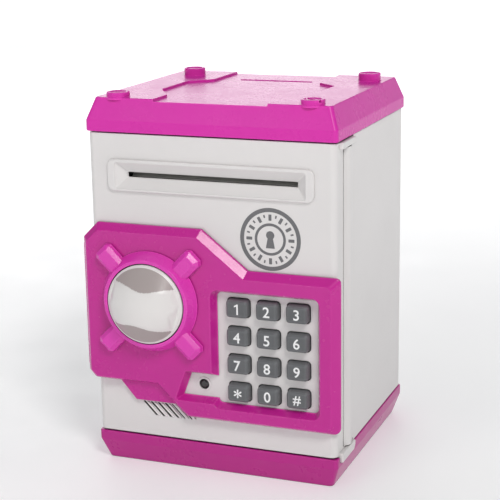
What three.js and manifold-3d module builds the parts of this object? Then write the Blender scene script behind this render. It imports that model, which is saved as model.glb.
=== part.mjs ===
// Toy safe coin bank: a cabinet on a base under a lid, with a hinged door that carries a keypad,
// a turning knob with a sliding latch, and a motor-driven banknote feeder behind the note slot.
// Millimetres, +Z up, the front faces -Y. The origin is the centre of the base's underside.
import * as THREE from "three";
import { mergeVertices } from "three/addons/utils/BufferGeometryUtils.js";
import Module from "manifold-3d";

const wasm = await Module();
wasm.setup();

// ---- driving dimensions ----
const GAP = 0.3; // between pieces that rest against each other
const WALL = 2.2;
const PAST = 5; // how far a cutting tool runs past the face that it cuts
const ARC_STEPS = 3;
const ROUND_STEPS = 20;
const SMALL_STEPS = 10;

const base = { halfX: 64.8, halfY: 58.6, top: 15.7, bandBottom: 10.85, inset: 3.7, corner: 4.2, floor: 2.6 };
const lid = { halfX: 65, halfY: 59, bottom: 172.3, bandTop: 177.8, top: 187.5, inset: 3.5, corner: 4.4 };
const plateau = { height: 1.2, innerX: 29.5, jogX: 40.5, frontInner: -38.5, frontOuter: -20.5 };
const plateauBack = { outer: 12, inner: 22 };
const boss = { radius: 5.75, bevel: 0.7 };
const bosses = [
  { x: -50.3, y: -50.5, bossTop: 191.2, degrees: 20 },
  { x: 50.5, y: -50.8, bossTop: 191.2, degrees: -35 },
  { x: -46.5, y: 35.5, bossTop: 192.8, degrees: 60 },
  { x: 52, y: 36.5, bossTop: 192.8, degrees: 5 },
];
const bossSlot = { width: 1.6, depth: 1.2 };
const coinSlot = { x: 2, y: 31.8, length: 40, width: 3.4, chuteWall: 1.6, chuteDepth: 9 };

const cabinet = { halfX: 64.2, front: -45.5, back: 58.2, bottom: 16, top: 172, wall: 2.5, corner: 3.6 };
const door = { front: -58.2, back: -46, bottom: 16.4, top: 171.7, skin: 2.2, corner: 3.6 };
const hinge = { x: 61.9, y: -41, barrelRadius: 4.2, pinRadius: 1.5, bottom: 18.1, top: 168.1 };
const pinLength = 16;
const ear = { inner: 57.5, outer: 66.3, front: -54, back: -33.3, bottom: 13, top: 171.7, chamfer: 2.2 };
// How far the ears reach round the hinge axis, behind it and in front of it.
const earSweep = { inner: 9.6, outer: 14 };

const panel = { back: door.front - GAP, front: -63.2, bevel: 3.4, flare: 2 };
const panelStep = { front: -60.4, bevel: 0.8 };
const grip = { left: -68, back: -52.2, bottom: 52, top: 116 };
const bezel = { halfX: 53.6, bottom: 143.2, top: 159.2, front: -59.7, corner: 3.5, bevel: 0.7 };
const funnel = { halfX: 49.3, bottom: 144.6, top: 157.3, inset: 5.1, back: -54.6 };
const note = { z: 150.95, halfX: 44.2, height: 2.5 };

const keypad = { columns: [14.5, 30, 45.3], topRow: 88.9, rowPitch: 14.4, travel: 1.2 };
const key = { width: 12.1, height: 9.9, corner: 2, gap: 0.4, front: -62.2, draft: 0.9 };
const led = { x: -4.8, z: 47.4, radius: 2.7 };
const vent = { first: -39.1, pitch: 3.95, count: 6, top: 34.5, bottom: 27.4, lean: 6.9, width: 1.5 };

const knob = { x: -30.7, z: 89.4, hubRadius: 25.8, rimRadius: 21.9, rim: -69.6, floor: -66 };
const cap = { radius: 20.1, dome: -80.5, shoulderInset: 0.8, shoulderRise: 0.6, socketTop: -72 };
const scoop = { edge: 9.3, top: 2.2, foot: 16.5, footRise: 1.6, rimRise: 1, past: 25 };
const spoke = { width: 10.5, tip: 36, front: -67.6, count: 4, tipChamfer: 2.5, bevel: 2 };
const spindle = { radius: 4.2, neck: 2.6, tail: 1.6 };
const pinion = { teeth: 10, module: 0.72, front: -43.7, back: -39.3 };
const latch = { front: -43.5, back: -39.5, tip: -55.6, right: -12, height: 7.4, travel: 5.655 };
const lockCase = { left: -52.9, right: -8, bottom: 91, top: 106.4, front: -47.5, back: -36.4 };
const plunger = { x: -48, radius: 1.5, notch: 4.2, travel: 3.2 };

const feed = { y: -46, driveRadius: 5.5, idlerRadius: 4, shaft: 1.5, plateInner: 45.9, plateOuter: 47.5 };
const gears = { module: 0.8, roller: 18, reduction: 22, motor: 10, width: 3, left: 48, backlash: 0.3 };
const motor = { radius: 10, flat: 7.5, left: 20, right: 45.3 };
const cover = { halfX: 55, bottom: 24, top: 167.2, back: -33.4, wall: 1.8, corner: 3 };
const flange = { halfX: 61.6, bottom: 19, top: 168.1, back: -46.3, front: -48.7, corner: 2 };

const cell = { radius: 7.1, halfLength: 24.8, nub: 2.7, cap: 1.2, pitch: 14.8, middleY: 29.9, z: 10 };
const well = { halfX: 29, front: 7.4, back: 52.6, ceiling: 17.9, wall: 1.8 };
const caseScrews = [
  [-56, -24],
  [56, -24],
  [-56, 44],
  [56, 44],
];

// ---- materials ----
const plastic = (color, roughness) => new THREE.MeshStandardMaterial({ color, roughness, metalness: 0 });
const metal = (color, roughness) => new THREE.MeshStandardMaterial({ color, roughness, metalness: 1 });
const WHITE = 0xdad8d5;
const PINK = 0xd3419f;
const INNER = 0xe4e2de;
const RUBBER_GREY = 0x656667;
const STEEL = 0xb4b6b8;

// ---- solids ----
// A closed geometry as a manifold solid with its faces pointing out.
function solid(geometry) {
  const bare = geometry.clone();
  bare.deleteAttribute("normal");
  bare.deleteAttribute("uv");
  const merged = mergeVertices(bare, 1e-4);
  const position = merged.attributes.position;
  const corner = [new THREE.Vector3(), new THREE.Vector3(), new THREE.Vector3()];
  const triangles = [];
  let volume = 0;
  for (let i = 0; i < merged.index.count; i += 3) {
    const [a, b, c] = [0, 1, 2].map((k) => merged.index.getX(i + k));
    if (a === b || b === c || c === a) continue;
    [a, b, c].forEach((v, k) => corner[k].fromBufferAttribute(position, v));
    volume += corner[0].dot(corner[1].cross(corner[2]));
    triangles.push([a, b, c]);
  }
  if (volume < 0) triangles.forEach((t) => t.reverse());
  const triVerts = new Uint32Array(triangles.flat());
  const vertProperties = new Float32Array(position.array);
  return new wasm.Manifold(new wasm.Mesh({ numProp: 3, vertProperties, triVerts }));
}

const join = (first, ...others) => others.reduce((whole, next) => whole.add(next), first);
const cut = (first, ...others) => others.reduce((whole, next) => whole.subtract(next), first);

// The directions that a shape's x, its y and the extrusion take.
// Z is a plan, Y a front view and X a side view.
const [UNIT_X, UNIT_Y, UNIT_Z] = [0, 1, 2].map((i) => new THREE.Vector3().setComponent(i, 1));
const BASES = {
  Z: [UNIT_X, UNIT_Y, UNIT_Z],
  Y: [UNIT_X, UNIT_Z, UNIT_Y.clone().negate()],
  X: [UNIT_Y, UNIT_Z, UNIT_X],
};

function box(low, high) {
  const size = high.map((h, i) => h - low[i]);
  const middle = high.map((h, i) => (h + low[i]) / 2);
  return solid(new THREE.BoxGeometry(...size).translate(...middle));
}

// A shape extruded from one plane to another.
// An end can be bevelled: the outline shrinks by inset over height.
function prism(plane, shape, from, to, { startBevel, endBevel, steps = ARC_STEPS } = {}) {
  const sign = plane === "Y" ? -1 : 1;
  const length = sign * (to - from);
  const bevel = startBevel || endBevel;
  const options = { depth: length, bevelEnabled: false, curveSegments: steps };
  let shift = 0;
  if (bevel) {
    options.bevelEnabled = true;
    options.bevelThickness = bevel.height;
    options.bevelSize = bevel.inset;
    options.bevelOffset = -bevel.inset;
    options.bevelSegments = bevel.segments || 1;
    options.depth = length + PAST;
    shift = startBevel ? bevel.height : -bevel.height - PAST;
  }
  const geometry = new THREE.ExtrudeGeometry(shape, options).translate(0, 0, shift);
  geometry.applyMatrix4(new THREE.Matrix4().makeBasis(...BASES[plane]));
  const offset = { Z: [0, 0, from], Y: [0, from, 0], X: [from, 0, 0] }[plane];
  const whole = solid(geometry.translate(...offset));
  if (!bevel) return whole;
  const far = 500;
  const axis = "XYZ".indexOf(plane);
  const low = [-far, -far, -far];
  const high = [far, far, far];
  low[axis] = Math.min(from, to);
  high[axis] = Math.max(from, to);
  return whole.intersect(box(low, high));
}

// A solid of revolution: profile points are [radius, place along the axis], at is the axis's place.
function turned(axis, profile, at = [0, 0, 0], steps = ROUND_STEPS) {
  const points = profile.map(([r, h]) => new THREE.Vector2(r, h));
  const geometry = new THREE.LatheGeometry(points, steps);
  if (axis === "Z") geometry.rotateX(Math.PI / 2);
  if (axis === "X") geometry.rotateZ(-Math.PI / 2);
  return solid(geometry.translate(...at));
}

function rod(axis, radius, from, to, at, steps = SMALL_STEPS) {
  const [low, high] = [Math.min(from, to), Math.max(from, to)];
  const profile = [
    [0, low],
    [radius, low],
    [radius, high],
    [0, high],
  ];
  return turned(axis, profile, at, steps);
}

// ---- outlines ----
const outline = (points) => new THREE.Shape(points.map(([x, y]) => new THREE.Vector2(x, y)));

function polygon(sides, radius) {
  const angles = Array.from({ length: sides }, (_, i) => (i * 2 * Math.PI) / sides);
  return outline(angles.map((a) => [radius * Math.cos(a), radius * Math.sin(a)]));
}

function roundedRect(left, bottom, right, top, radius) {
  const shape = new THREE.Shape();
  const turn = Math.PI / 2;
  shape.absarc(right - radius, top - radius, radius, 0, turn);
  shape.absarc(left + radius, top - radius, radius, turn, 2 * turn);
  shape.absarc(left + radius, bottom + radius, radius, 2 * turn, 3 * turn);
  shape.absarc(right - radius, bottom + radius, radius, 3 * turn, 4 * turn);
  return shape;
}

// An involute spur gear outline with a tooth on the +x axis and a round bore.
function gearOutline(teeth, module, backlash, bore) {
  const pressure = THREE.MathUtils.degToRad(20);
  const pitchRadius = (module * teeth) / 2;
  const baseRadius = pitchRadius * Math.cos(pressure);
  const tipRadius = pitchRadius + 0.9 * module;
  const rootRadius = pitchRadius - 1.15 * module;
  const involute = (angle) => Math.tan(angle) - angle;
  const halfTooth = Math.PI / (2 * teeth) - backlash / (2 * pitchRadius) + involute(pressure);
  const halfAngleAt = (r) => halfTooth - involute(Math.acos(Math.min(1, baseRadius / r)));
  const flank = [rootRadius, pitchRadius, tipRadius];
  const points = [];
  for (let tooth = 0; tooth < teeth; tooth++) {
    const middle = (tooth * 2 * Math.PI) / teeth;
    const sides = [...flank.map((r) => [r, -1]), ...flank.map((r) => [r, 1]).reverse()];
    for (const [r, side] of sides) {
      const angle = middle + side * halfAngleAt(Math.max(r, baseRadius));
      points.push([r * Math.cos(angle), r * Math.sin(angle)]);
    }
  }
  const shape = outline(points);
  if (bore) shape.holes.push(new THREE.Path().absarc(0, 0, bore, 0, 2 * Math.PI));
  return shape;
}

// ---- assembly ----
const safe = new THREE.Group();
safe.name = "toy_safe_coin_bank";

function piece(name, body, material) {
  const { vertProperties, triVerts } = body.getMesh();
  const geometry = new THREE.BufferGeometry();
  geometry.setAttribute("position", new THREE.BufferAttribute(vertProperties, 3));
  geometry.setIndex(new THREE.BufferAttribute(triVerts, 1));
  geometry.computeVertexNormals();
  const mesh = new THREE.Mesh(geometry, material);
  mesh.name = name;
  safe.add(mesh);
}

function screw(axis, at, tip, underHead, headEnd, shank, head) {
  const overlap = Math.sign(headEnd - tip) * 0.01;
  return join(rod(axis, shank, tip, underHead, at), rod(axis, head, underHead - overlap, headEnd, at));
}

// ---- base, with the battery well in its underside ----
// The room that the door's lower ear needs as it swings round the hinge axis.
function earRoom(from, to) {
  const at = [hinge.x, hinge.y, 0];
  const round = rod("Z", earSweep.inner, from, to, at, ROUND_STEPS);
  const quarter = rod("Z", earSweep.outer, from, to, at, ROUND_STEPS);
  const frontRight = box(
    [ear.inner - GAP, hinge.y - earSweep.outer - 1, from],
    [ear.outer + PAST, hinge.y, to],
  );
  return join(round, quarter.intersect(frontRight));
}

const coverTab = { right: 38.6, front: 24.6, back: 35.4, screwX: 33.8, screwY: 30, blockTop: 10.6 };
const screwPost = { radius: 4.6, hole: 1.7, headRoom: 3.4, headDepth: 4 };

// A rounded rectangle centred on the origin.
const centredRect = (halfX, halfY, radius) => roundedRect(-halfX, -halfY, halfX, halfY, radius);

function baseTray() {
  const outer = prism("Z", centredRect(base.halfX, base.halfY, base.corner), 0, base.top, {
    startBevel: { inset: base.inset, height: base.bandBottom },
  });
  const hollow = prism(
    "Z",
    centredRect(base.halfX - WALL, base.halfY - WALL, base.corner - 0.5),
    base.floor,
    base.top + PAST,
    { startBevel: { inset: base.inset - 0.3, height: base.bandBottom - WALL } },
  );
  const wellBlock = box(
    [-well.halfX - well.wall, well.front - well.wall, 0],
    [well.halfX + well.wall, well.back + well.wall, well.ceiling + well.wall],
  );
  const wellRoom = box([-well.halfX, well.front, -PAST], [well.halfX, well.back, well.ceiling]);
  const tabBlock = box(
    [well.halfX, coverTab.front - 2, base.floor - 1],
    [coverTab.right + 2, coverTab.back + 2, coverTab.blockTop],
  );
  const tabRoom = box([well.halfX - 1, coverTab.front, -PAST], [coverTab.right, coverTab.back, base.floor]);
  const tabHole = rod("Z", 1.5, 0, coverTab.blockTop - 1, [coverTab.screwX, coverTab.screwY, 0]);
  let tray = join(cut(outer, hollow), wellBlock, tabBlock);
  for (const [x, y] of caseScrews) tray = join(tray, rod("Z", screwPost.radius, 1, base.top, [x, y, 0]));
  tray = cut(tray, wellRoom, tabRoom, tabHole, earRoom(ear.bottom - GAP, base.top + PAST));
  for (const [x, y] of caseScrews) {
    tray = cut(
      tray,
      rod("Z", screwPost.hole, -PAST, base.top + PAST, [x, y, 0]),
      rod("Z", screwPost.headRoom, -PAST, screwPost.headDepth, [x, y, 0]),
    );
  }
  return tray;
}

function batteryCover() {
  const low = 0.4;
  const plate = box(
    [-well.halfX + GAP, well.front + GAP, low],
    [well.halfX - GAP, well.back - GAP, base.floor - 0.2],
  );
  const tab = box(
    [well.halfX - 1, coverTab.front + GAP, low],
    [coverTab.right - GAP, coverTab.back - GAP, base.floor - 0.2 - GAP],
  );
  const at = [coverTab.screwX, coverTab.screwY, 0];
  let body = cut(join(plate, tab), rod("Z", 1.6, -PAST, PAST, at), rod("Z", 2.9, -PAST, 1.6, at));
  const rib = { count: 5, first: 38, pitch: 2.4, width: 1.1, halfX: 9, depth: 0.6 };
  for (let i = 0; i < rib.count; i++) {
    const y = rib.first + i * rib.pitch;
    body = cut(body, box([-rib.halfX, y, -PAST], [rib.halfX, y + rib.width, low + rib.depth]));
  }
  return body;
}

function dryCell(y, direction) {
  const profile = [
    [0, -cell.halfLength],
    [cell.radius, -cell.halfLength],
    [cell.radius, cell.halfLength],
    [cell.nub, cell.halfLength],
    [cell.nub, cell.halfLength + cell.cap],
    [0, cell.halfLength + cell.cap],
  ];
  const points = direction > 0 ? profile : profile.map(([r, h]) => [r, -h]);
  return turned("X", points, [0, y, cell.z], 16);
}

// A contact plate at one end of the well, with a coil spring or a pressed bump for each cell it touches.
class Coil extends THREE.Curve {
  constructor(x, direction, y) {
    super();
    this.start = new THREE.Vector3(x, y, cell.z);
    this.direction = direction;
  }
  getPoint(t, target = new THREE.Vector3()) {
    const turns = 2.5;
    const reach = 2.9;
    const radius = 4.4 - 1.9 * t;
    const angle = t * turns * 2 * Math.PI;
    target.set(this.direction * reach * t, radius * Math.cos(angle), radius * Math.sin(angle));
    return target.add(this.start);
  }
}

function contact(side, cells) {
  const inner = 28.1;
  const outer = well.halfX - GAP;
  const halfPlate = 4.6;
  const ys = cells.map(([y]) => y);
  const [near, far] = [inner * side, outer * side];
  let plate = box(
    [Math.min(near, far), Math.min(...ys) - halfPlate, 3.6],
    [Math.max(near, far), Math.max(...ys) + halfPlate, 15.4],
  );
  const wire = polygon(5, 0.4);
  for (const [y, kind] of cells) {
    if (kind === "spring") {
      const extrudePath = new Coil(side * (inner + 0.2), -side, y);
      const spring = new THREE.ExtrudeGeometry(wire, { steps: 18, bevelEnabled: false, extrudePath });
      plate = join(plate, solid(spring));
    } else {
      const bumpEnd = side * (cell.halfLength + cell.cap + GAP);
      plate = join(plate, rod("X", 3, bumpEnd, side * (inner + 0.1), [0, y, cell.z]));
    }
  }
  return plate;
}

// ---- cabinet: side and back walls, a frame round the door opening, and the hinge barrel ----
function cabinetShell() {
  const { halfX, front, back, bottom, top, wall, corner } = cabinet;
  const plan = new THREE.Shape();
  plan.moveTo(-halfX, front);
  plan.lineTo(halfX, front);
  plan.absarc(halfX - corner, back - corner, corner, 0, Math.PI / 2);
  plan.absarc(-halfX + corner, back - corner, corner, Math.PI / 2, Math.PI);
  const inside = roundedRect(-halfX + wall, front - 2 * PAST, halfX - wall, back - wall, corner - wall);
  let shell = cut(prism("Z", plan, bottom, top), prism("Z", inside, bottom - PAST, top + PAST));
  const rail = { back: -36, headerBottom: 168.2, sillTop: 19.8 };
  const header = box([-halfX + 1, front, rail.headerBottom], [halfX - 1, rail.back, top]);
  const sill = box([-halfX + 1, front, bottom], [halfX - 1, rail.back, rail.sillTop]);
  const fairing = outline([
    [hinge.x, -45],
    [hinge.x + 4.06, -39.9],
    [halfX, -31.6],
    [hinge.x, -31.6],
  ]);
  const barrel = join(
    rod("Z", hinge.barrelRadius, hinge.bottom, hinge.top, [hinge.x, hinge.y, 0], ROUND_STEPS),
    prism("Z", fairing, hinge.bottom, hinge.top).intersect(
      box([hinge.x, hinge.y, 0], [ear.outer, 0, top]),
    ),
  );
  const plate = { right: -57.2, bottom: 86, top: 112, ribBack: -38, rib: 2 };
  const strike = box([-halfX + 1, front, plate.bottom], [plate.right, latch.front - 0.4, plate.top]);
  const strikeRibs = [plate.bottom, plate.top - plate.rib].map((z) =>
    box([-halfX + 1, front, z], [plate.right, plate.ribBack, z + plate.rib]),
  );
  shell = join(cut(join(shell, header, sill), earRoom(bottom - PAST, hinge.bottom)), strike, ...strikeRibs);
  shell = join(cut(shell, earRoom(hinge.top, top + PAST)), barrel);
  const post = { radius: 4.5, top: 30, holeTop: 26, webHalf: 1.5 };
  for (const [x, y] of caseScrews) {
    const wallX = Math.sign(x) * (halfX - wall + GAP);
    const web = box(
      [Math.min(x, wallX), y - post.webHalf, bottom],
      [Math.max(x, wallX), y + post.webHalf, post.top],
    );
    shell = join(shell, rod("Z", post.radius, bottom, post.top, [x, y, 0]), web);
  }
  for (const [x, y] of caseScrews) {
    shell = cut(shell, rod("Z", screwPost.hole, bottom - PAST, post.holeTop, [x, y, 0]));
  }
  const pinRoom = hinge.pinRadius + 0.3;
  const at = [hinge.x, hinge.y, 0];
  return cut(
    shell,
    rod("Z", pinRoom, hinge.bottom - PAST, hinge.bottom + pinLength, at),
    rod("Z", pinRoom, hinge.top - pinLength, hinge.top + PAST, at),
  );
}

// ---- lid: bevelled cap with two raised side panels, four slotted bosses and the coin slot ----
function lidShell() {
  const { halfX, halfY, bottom, bandTop, top, inset, corner } = lid;
  const rimTop = top + plateau.height;
  const rimInset = (inset * (rimTop - bandTop)) / (top - bandTop);
  const outer = prism("Z", centredRect(halfX, halfY, corner), bottom, rimTop, {
    endBevel: { inset: rimInset, height: rimTop - bandTop },
  });
  const hollow = prism(
    "Z",
    centredRect(halfX - WALL, halfY - WALL, corner - 1),
    bottom - PAST,
    top - WALL,
    { endBevel: { inset: inset - 0.5, height: top - bandTop - WALL } },
  );
  const rightEdge = [
    [plateau.innerX, -halfY - PAST],
    [plateau.innerX, plateau.frontInner],
    [plateau.jogX, plateau.frontOuter],
    [plateau.jogX, plateauBack.outer],
    [plateau.innerX, plateauBack.inner],
    [plateau.innerX, halfY + PAST],
  ];
  const leftEdge = rightEdge.map(([x, y]) => [-x, y]).reverse();
  const middle = prism("Z", outline([...rightEdge, ...leftEdge]), top, rimTop + PAST);
  let body = cut(cut(outer, hollow), middle);
  for (const { x, y, bossTop, degrees } of bosses) {
    const head = turned(
      "Z",
      [
        [0, top - 1],
        [boss.radius, top - 1],
        [boss.radius, bossTop - boss.bevel],
        [boss.radius - boss.bevel, bossTop],
        [0, bossTop],
      ],
      [x, y, 0],
    );
    const groove = new THREE.BoxGeometry(3 * boss.radius, bossSlot.width, 2 * bossSlot.depth);
    groove.rotateZ(THREE.MathUtils.degToRad(degrees)).translate(x, y, bossTop);
    body = cut(join(body, head), solid(groove));
  }
  const slotOutline = (out) =>
    roundedRect(
      coinSlot.x - coinSlot.length / 2 - out,
      coinSlot.y - coinSlot.width / 2 - out,
      coinSlot.x + coinSlot.length / 2 + out,
      coinSlot.y + coinSlot.width / 2 + out,
      coinSlot.width / 2 - 0.1 + out,
    );
  const chute = prism("Z", slotOutline(coinSlot.chuteWall), top - coinSlot.chuteDepth, top - 1);
  return cut(join(body, chute), prism("Z", slotOutline(0), top - 2 * PAST, top + PAST));
}

// ---- door ----
const keyCentres = [];
for (let row = 0; row < 4; row++) {
  for (const x of keypad.columns) keyCentres.push([x, keypad.topRow - row * keypad.rowPitch]);
}
const coverScrews = [
  [-57.6, 22.6],
  [57.6, 22.6],
  [-57.6, 164.6],
  [57.6, 164.6],
];

const keyOutline = (x, z, shrink, radius) =>
  roundedRect(
    x - key.width / 2 + shrink,
    z - key.height / 2 + shrink,
    x + key.width / 2 - shrink,
    z + key.height / 2 - shrink,
    radius,
  );

function doorShell() {
  const { halfX } = cabinet;
  const { front, back, bottom, top, skin, corner } = door;
  const trayPlan = (half, near, far, radius) => {
    const plan = new THREE.Shape();
    plan.moveTo(half, far);
    plan.lineTo(-half, far);
    plan.absarc(-half + radius, near + radius, radius, Math.PI, 1.5 * Math.PI);
    plan.absarc(half - radius, near + radius, radius, 1.5 * Math.PI, 2 * Math.PI);
    return plan;
  };
  const outer = prism("Z", trayPlan(halfX, front, back, corner), bottom, top);
  const insidePlan = trayPlan(halfX - skin, front + skin, back + PAST, corner - skin);
  const hollow = prism("Z", insidePlan, bottom + skin, top - skin);
  const frame = prism(
    "Y",
    roundedRect(-bezel.halfX, bezel.bottom, bezel.halfX, bezel.top, bezel.corner),
    front + 1,
    bezel.front,
    { endBevel: { inset: bezel.bevel, height: bezel.bevel } },
  );
  const backing = box(
    [-note.halfX - 3, front + 1, funnel.bottom - 1],
    [note.halfX + 3, funnel.back, funnel.top + 1],
  );
  const funnelRoom = prism(
    "Y",
    outline([
      [-funnel.halfX, funnel.bottom],
      [funnel.halfX, funnel.bottom],
      [funnel.halfX, funnel.top],
      [-funnel.halfX, funnel.top],
    ]),
    funnel.back - 0.4,
    bezel.front - PAST,
    { startBevel: { inset: funnel.inset, height: funnel.back - 0.4 - bezel.front } },
  );
  const slot = box(
    [-note.halfX, front, note.z - note.height / 2],
    [note.halfX, back, note.z + note.height / 2],
  );
  const earProfile = (low, high, chamfer) =>
    outline([
      [ear.front, low],
      [ear.back - chamfer, low],
      [ear.back, low + chamfer],
      [ear.back, high],
      [ear.front, high],
    ]);
  const playAtBarrel = 0.4;
  const lowerProfile = earProfile(ear.bottom, hinge.bottom - playAtBarrel, ear.chamfer);
  const upperProfile = earProfile(hinge.top + playAtBarrel, ear.top, 0);
  const lowerEar = prism("X", lowerProfile, ear.inner, ear.outer);
  const upperEar = prism("X", upperProfile, ear.inner, ear.outer);
  const posts = coverScrews.map(([x, z]) => rod("Y", 3.4, front + 1, flange.front - 0.4, [x, 0, z]));
  let shell = join(cut(outer, hollow), frame, backing, lowerEar, upperEar, ...posts);
  shell = cut(shell, funnelRoom, slot);
  const skinCut = [front + 2 * PAST, front - PAST];
  for (const [x, z] of keyCentres) {
    shell = cut(shell, prism("Y", keyOutline(x, z, 0, key.corner), ...skinCut, { steps: 2 }));
  }
  for (let i = 0; i < vent.count; i++) {
    const x = vent.first + i * vent.pitch;
    const slit = outline([
      [x, vent.top],
      [x + vent.lean, vent.bottom],
      [x + vent.lean + vent.width, vent.bottom],
      [x + vent.width, vent.top],
    ]);
    shell = cut(shell, prism("Y", slit, ...skinCut));
  }
  for (const [x, z] of coverScrews) shell = cut(shell, rod("Y", 1.5, front + 3, back, [x, 0, z]));
  return cut(
    shell,
    rod("Y", led.radius, ...skinCut, [led.x, 0, led.z]),
    rod("Y", spindle.radius + 0.4, ...skinCut, [knob.x, 0, knob.z]),
    rod("Z", hinge.pinRadius + 0.3, ear.bottom - PAST, ear.top + PAST, [hinge.x, hinge.y, 0]),
  );
}

function frontPanel() {
  const main = outline([
    [66.8, 108],
    [20, 108],
    [-4, 127],
    [-60, 127],
    [-68, 119],
    [-68, 49],
    [-64.5, 45],
    [-30, 45],
    [-19.4, 34.4],
    [-13.7, 29.6],
    [62, 29.6],
    [66.8, 33.4],
  ]);
  const lowerStep = outline([
    [-51.4, 46.5],
    [-41.9, 35.5],
    [-16, 35.5],
    [-16, 46.5],
  ]);
  const keypadRoom = roundedRect(1.3, 37.1, 57.2, 98, 4);
  const ledRoom = outline([
    [-18.6, 39.2],
    [12, 39.2],
    [12, 54.8],
    [-12.8, 54.8],
  ]);
  const flare = { startBevel: { inset: panel.flare, height: panel.back - panel.front } };
  const cutFrom = panel.back + 0.001;
  const room = join(
    prism("Y", keypadRoom, cutFrom, panel.front - PAST, flare),
    prism("Y", ledRoom, cutFrom, panel.front - PAST, flare),
  );
  const body = prism("Y", main, panel.back, panel.front, {
    endBevel: { inset: panel.bevel, height: panel.bevel },
  });
  const step = prism("Y", lowerStep, panel.back, panelStep.front, {
    endBevel: { inset: panelStep.bevel, height: panelStep.bevel },
  });
  const pull = box([grip.left, grip.back, grip.bottom], [-cabinet.halfX - GAP, panel.back - 1, grip.top]);
  const bore = rod("Y", spindle.radius + 0.4, 0, -90, [knob.x, 0, knob.z]);
  return cut(join(body, step, pull), room, bore);
}

function keyCap(x, z) {
  const skinBack = door.front + door.skin;
  const footOut = 0.6;
  const footFront = skinBack + GAP;
  const foot = prism("Y", keyOutline(x, z, -footOut, key.corner), footFront + 1, footFront, { steps: 1 });
  const top = prism("Y", keyOutline(x, z, key.gap, key.corner - key.gap), footFront + 0.1, key.front, {
    endBevel: { inset: key.draft, height: key.draft },
    steps: 2,
  });
  return join(foot, top);
}

function innerCover() {
  const rim = prism(
    "Y",
    roundedRect(-flange.halfX, flange.bottom, flange.halfX, flange.top, flange.corner),
    flange.back,
    flange.front,
  );
  const raisedOutline = (shrink) =>
    roundedRect(
      -cover.halfX + shrink,
      cover.bottom + shrink,
      cover.halfX - shrink,
      cover.top - shrink,
      cover.corner - shrink / 2,
    );
  const inset = cover.wall;
  const raised = prism("Y", raisedOutline(0), cover.back, flange.front);
  const hollow = prism("Y", raisedOutline(inset), cover.back - inset, flange.front - PAST);
  const noteExit = box([-46, cover.back - 2 * inset, 148], [46, cover.back + PAST, 154.5]);
  const latchRoom = box(
    [-cover.halfX - 1, latch.front - 0.5, 92.6],
    [-cover.halfX + inset + 1, latch.back + 0.5, 104.6],
  );
  let body = cut(join(rim, raised), hollow, noteExit, latchRoom);
  for (const [x, z] of coverScrews) {
    body = cut(
      body,
      rod("Y", 1.7, -70, 0, [x, 0, z]),
      rod("Y", 3, flange.back - 1.6, 0, [x, 0, z]),
    );
  }
  return body;
}

// ---- lock: knob, spindle with its pinion, rack latch, case and solenoid ----
const knobAt = [knob.x, 0, knob.z];

function knobHub() {
  const seat = panel.front - 0.4;
  const boreRadius = spindle.radius + GAP;
  const recess = cap.radius + 0.5;
  const ring = turned(
    "Y",
    [
      [boreRadius, seat],
      [knob.hubRadius, seat],
      [knob.rimRadius + 0.5, knob.rim + 0.9],
      [knob.rimRadius - 0.3, knob.rim],
      [recess, knob.rim + 0.3],
      [recess, knob.floor],
      [boreRadius, knob.floor],
      [boreRadius, seat],
    ],
    knobAt,
    26,
  );
  let hub = ring;
  for (let i = 0; i < spoke.count; i++) {
    const half = spoke.width / 2;
    const chamfer = spoke.tipChamfer;
    const blade = prism(
      "Y",
      outline([
        [knob.rimRadius, -half],
        [spoke.tip - chamfer, -half],
        [spoke.tip, -half + chamfer],
        [spoke.tip, half - chamfer],
        [spoke.tip - chamfer, half],
        [knob.rimRadius, half],
      ]),
      seat,
      spoke.front,
      { endBevel: { inset: spoke.bevel, height: spoke.bevel } },
    );
    const angle = 45 + (i * 360) / spoke.count;
    hub = join(hub, blade.rotate([0, angle, 0]).translate(knobAt));
  }
  return hub;
}

function knobCap() {
  const domeRadius = cap.radius - cap.shoulderInset;
  const shoulder = knob.rim - cap.shoulderRise;
  const rise = shoulder - cap.dome;
  const sphere = (domeRadius ** 2 + rise ** 2) / (2 * rise);
  const spread = Math.asin(domeRadius / sphere);
  const rings = 5;
  const arc = [];
  for (let i = 0; i < rings; i++) {
    const angle = spread * (1 - i / rings);
    arc.push([sphere * Math.sin(angle), cap.dome + sphere * (1 - Math.cos(angle))]);
  }
  const foot = knob.floor - GAP;
  const socket = spindle.radius + GAP;
  const dome = turned(
    "Y",
    [
      [0, cap.socketTop],
      [socket, cap.socketTop],
      [socket, foot],
      [cap.radius, foot],
      [cap.radius, knob.rim],
      ...arc,
      [0, cap.dome],
    ],
    knobAt,
    26,
  );
  // A grip bar runs across the dome: above and below it a scoop falls from the bar's edge to the rim.
  const scoopSide = outline([
    [cap.dome - PAST, scoop.edge - 1.5],
    [cap.dome + scoop.top, scoop.edge],
    [knob.rim - scoop.footRise, scoop.foot],
    [knob.rim - scoop.rimRise, scoop.past],
    [cap.dome - PAST, scoop.past],
  ]);
  const wedge = prism("X", scoopSide, -scoop.past, scoop.past);
  const upper = wedge.translate(knobAt);
  const lower = wedge.mirror([0, 0, 1]).translate(knobAt);
  return cut(dome, upper, lower);
}

function knobSpindle() {
  const caseFront = lockCase.front - 0.4;
  const teeth = prism(
    "Y",
    gearOutline(pinion.teeth, pinion.module, 0.2, 0),
    pinion.back,
    pinion.front,
  ).translate(knobAt);
  return join(
    rod("Y", spindle.radius, -71.6, caseFront, knobAt),
    rod("Y", spindle.neck, caseFront - 1, pinion.front + 0.5, knobAt),
    teeth,
    rod("Y", spindle.tail, pinion.back - 0.5, lockCase.back - 0.6, knobAt),
  );
}

const rackPitchZ = knob.z + (pinion.teeth * pinion.module) / 2;
const latchBottom = rackPitchZ + 1.25 * pinion.module;

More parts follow.
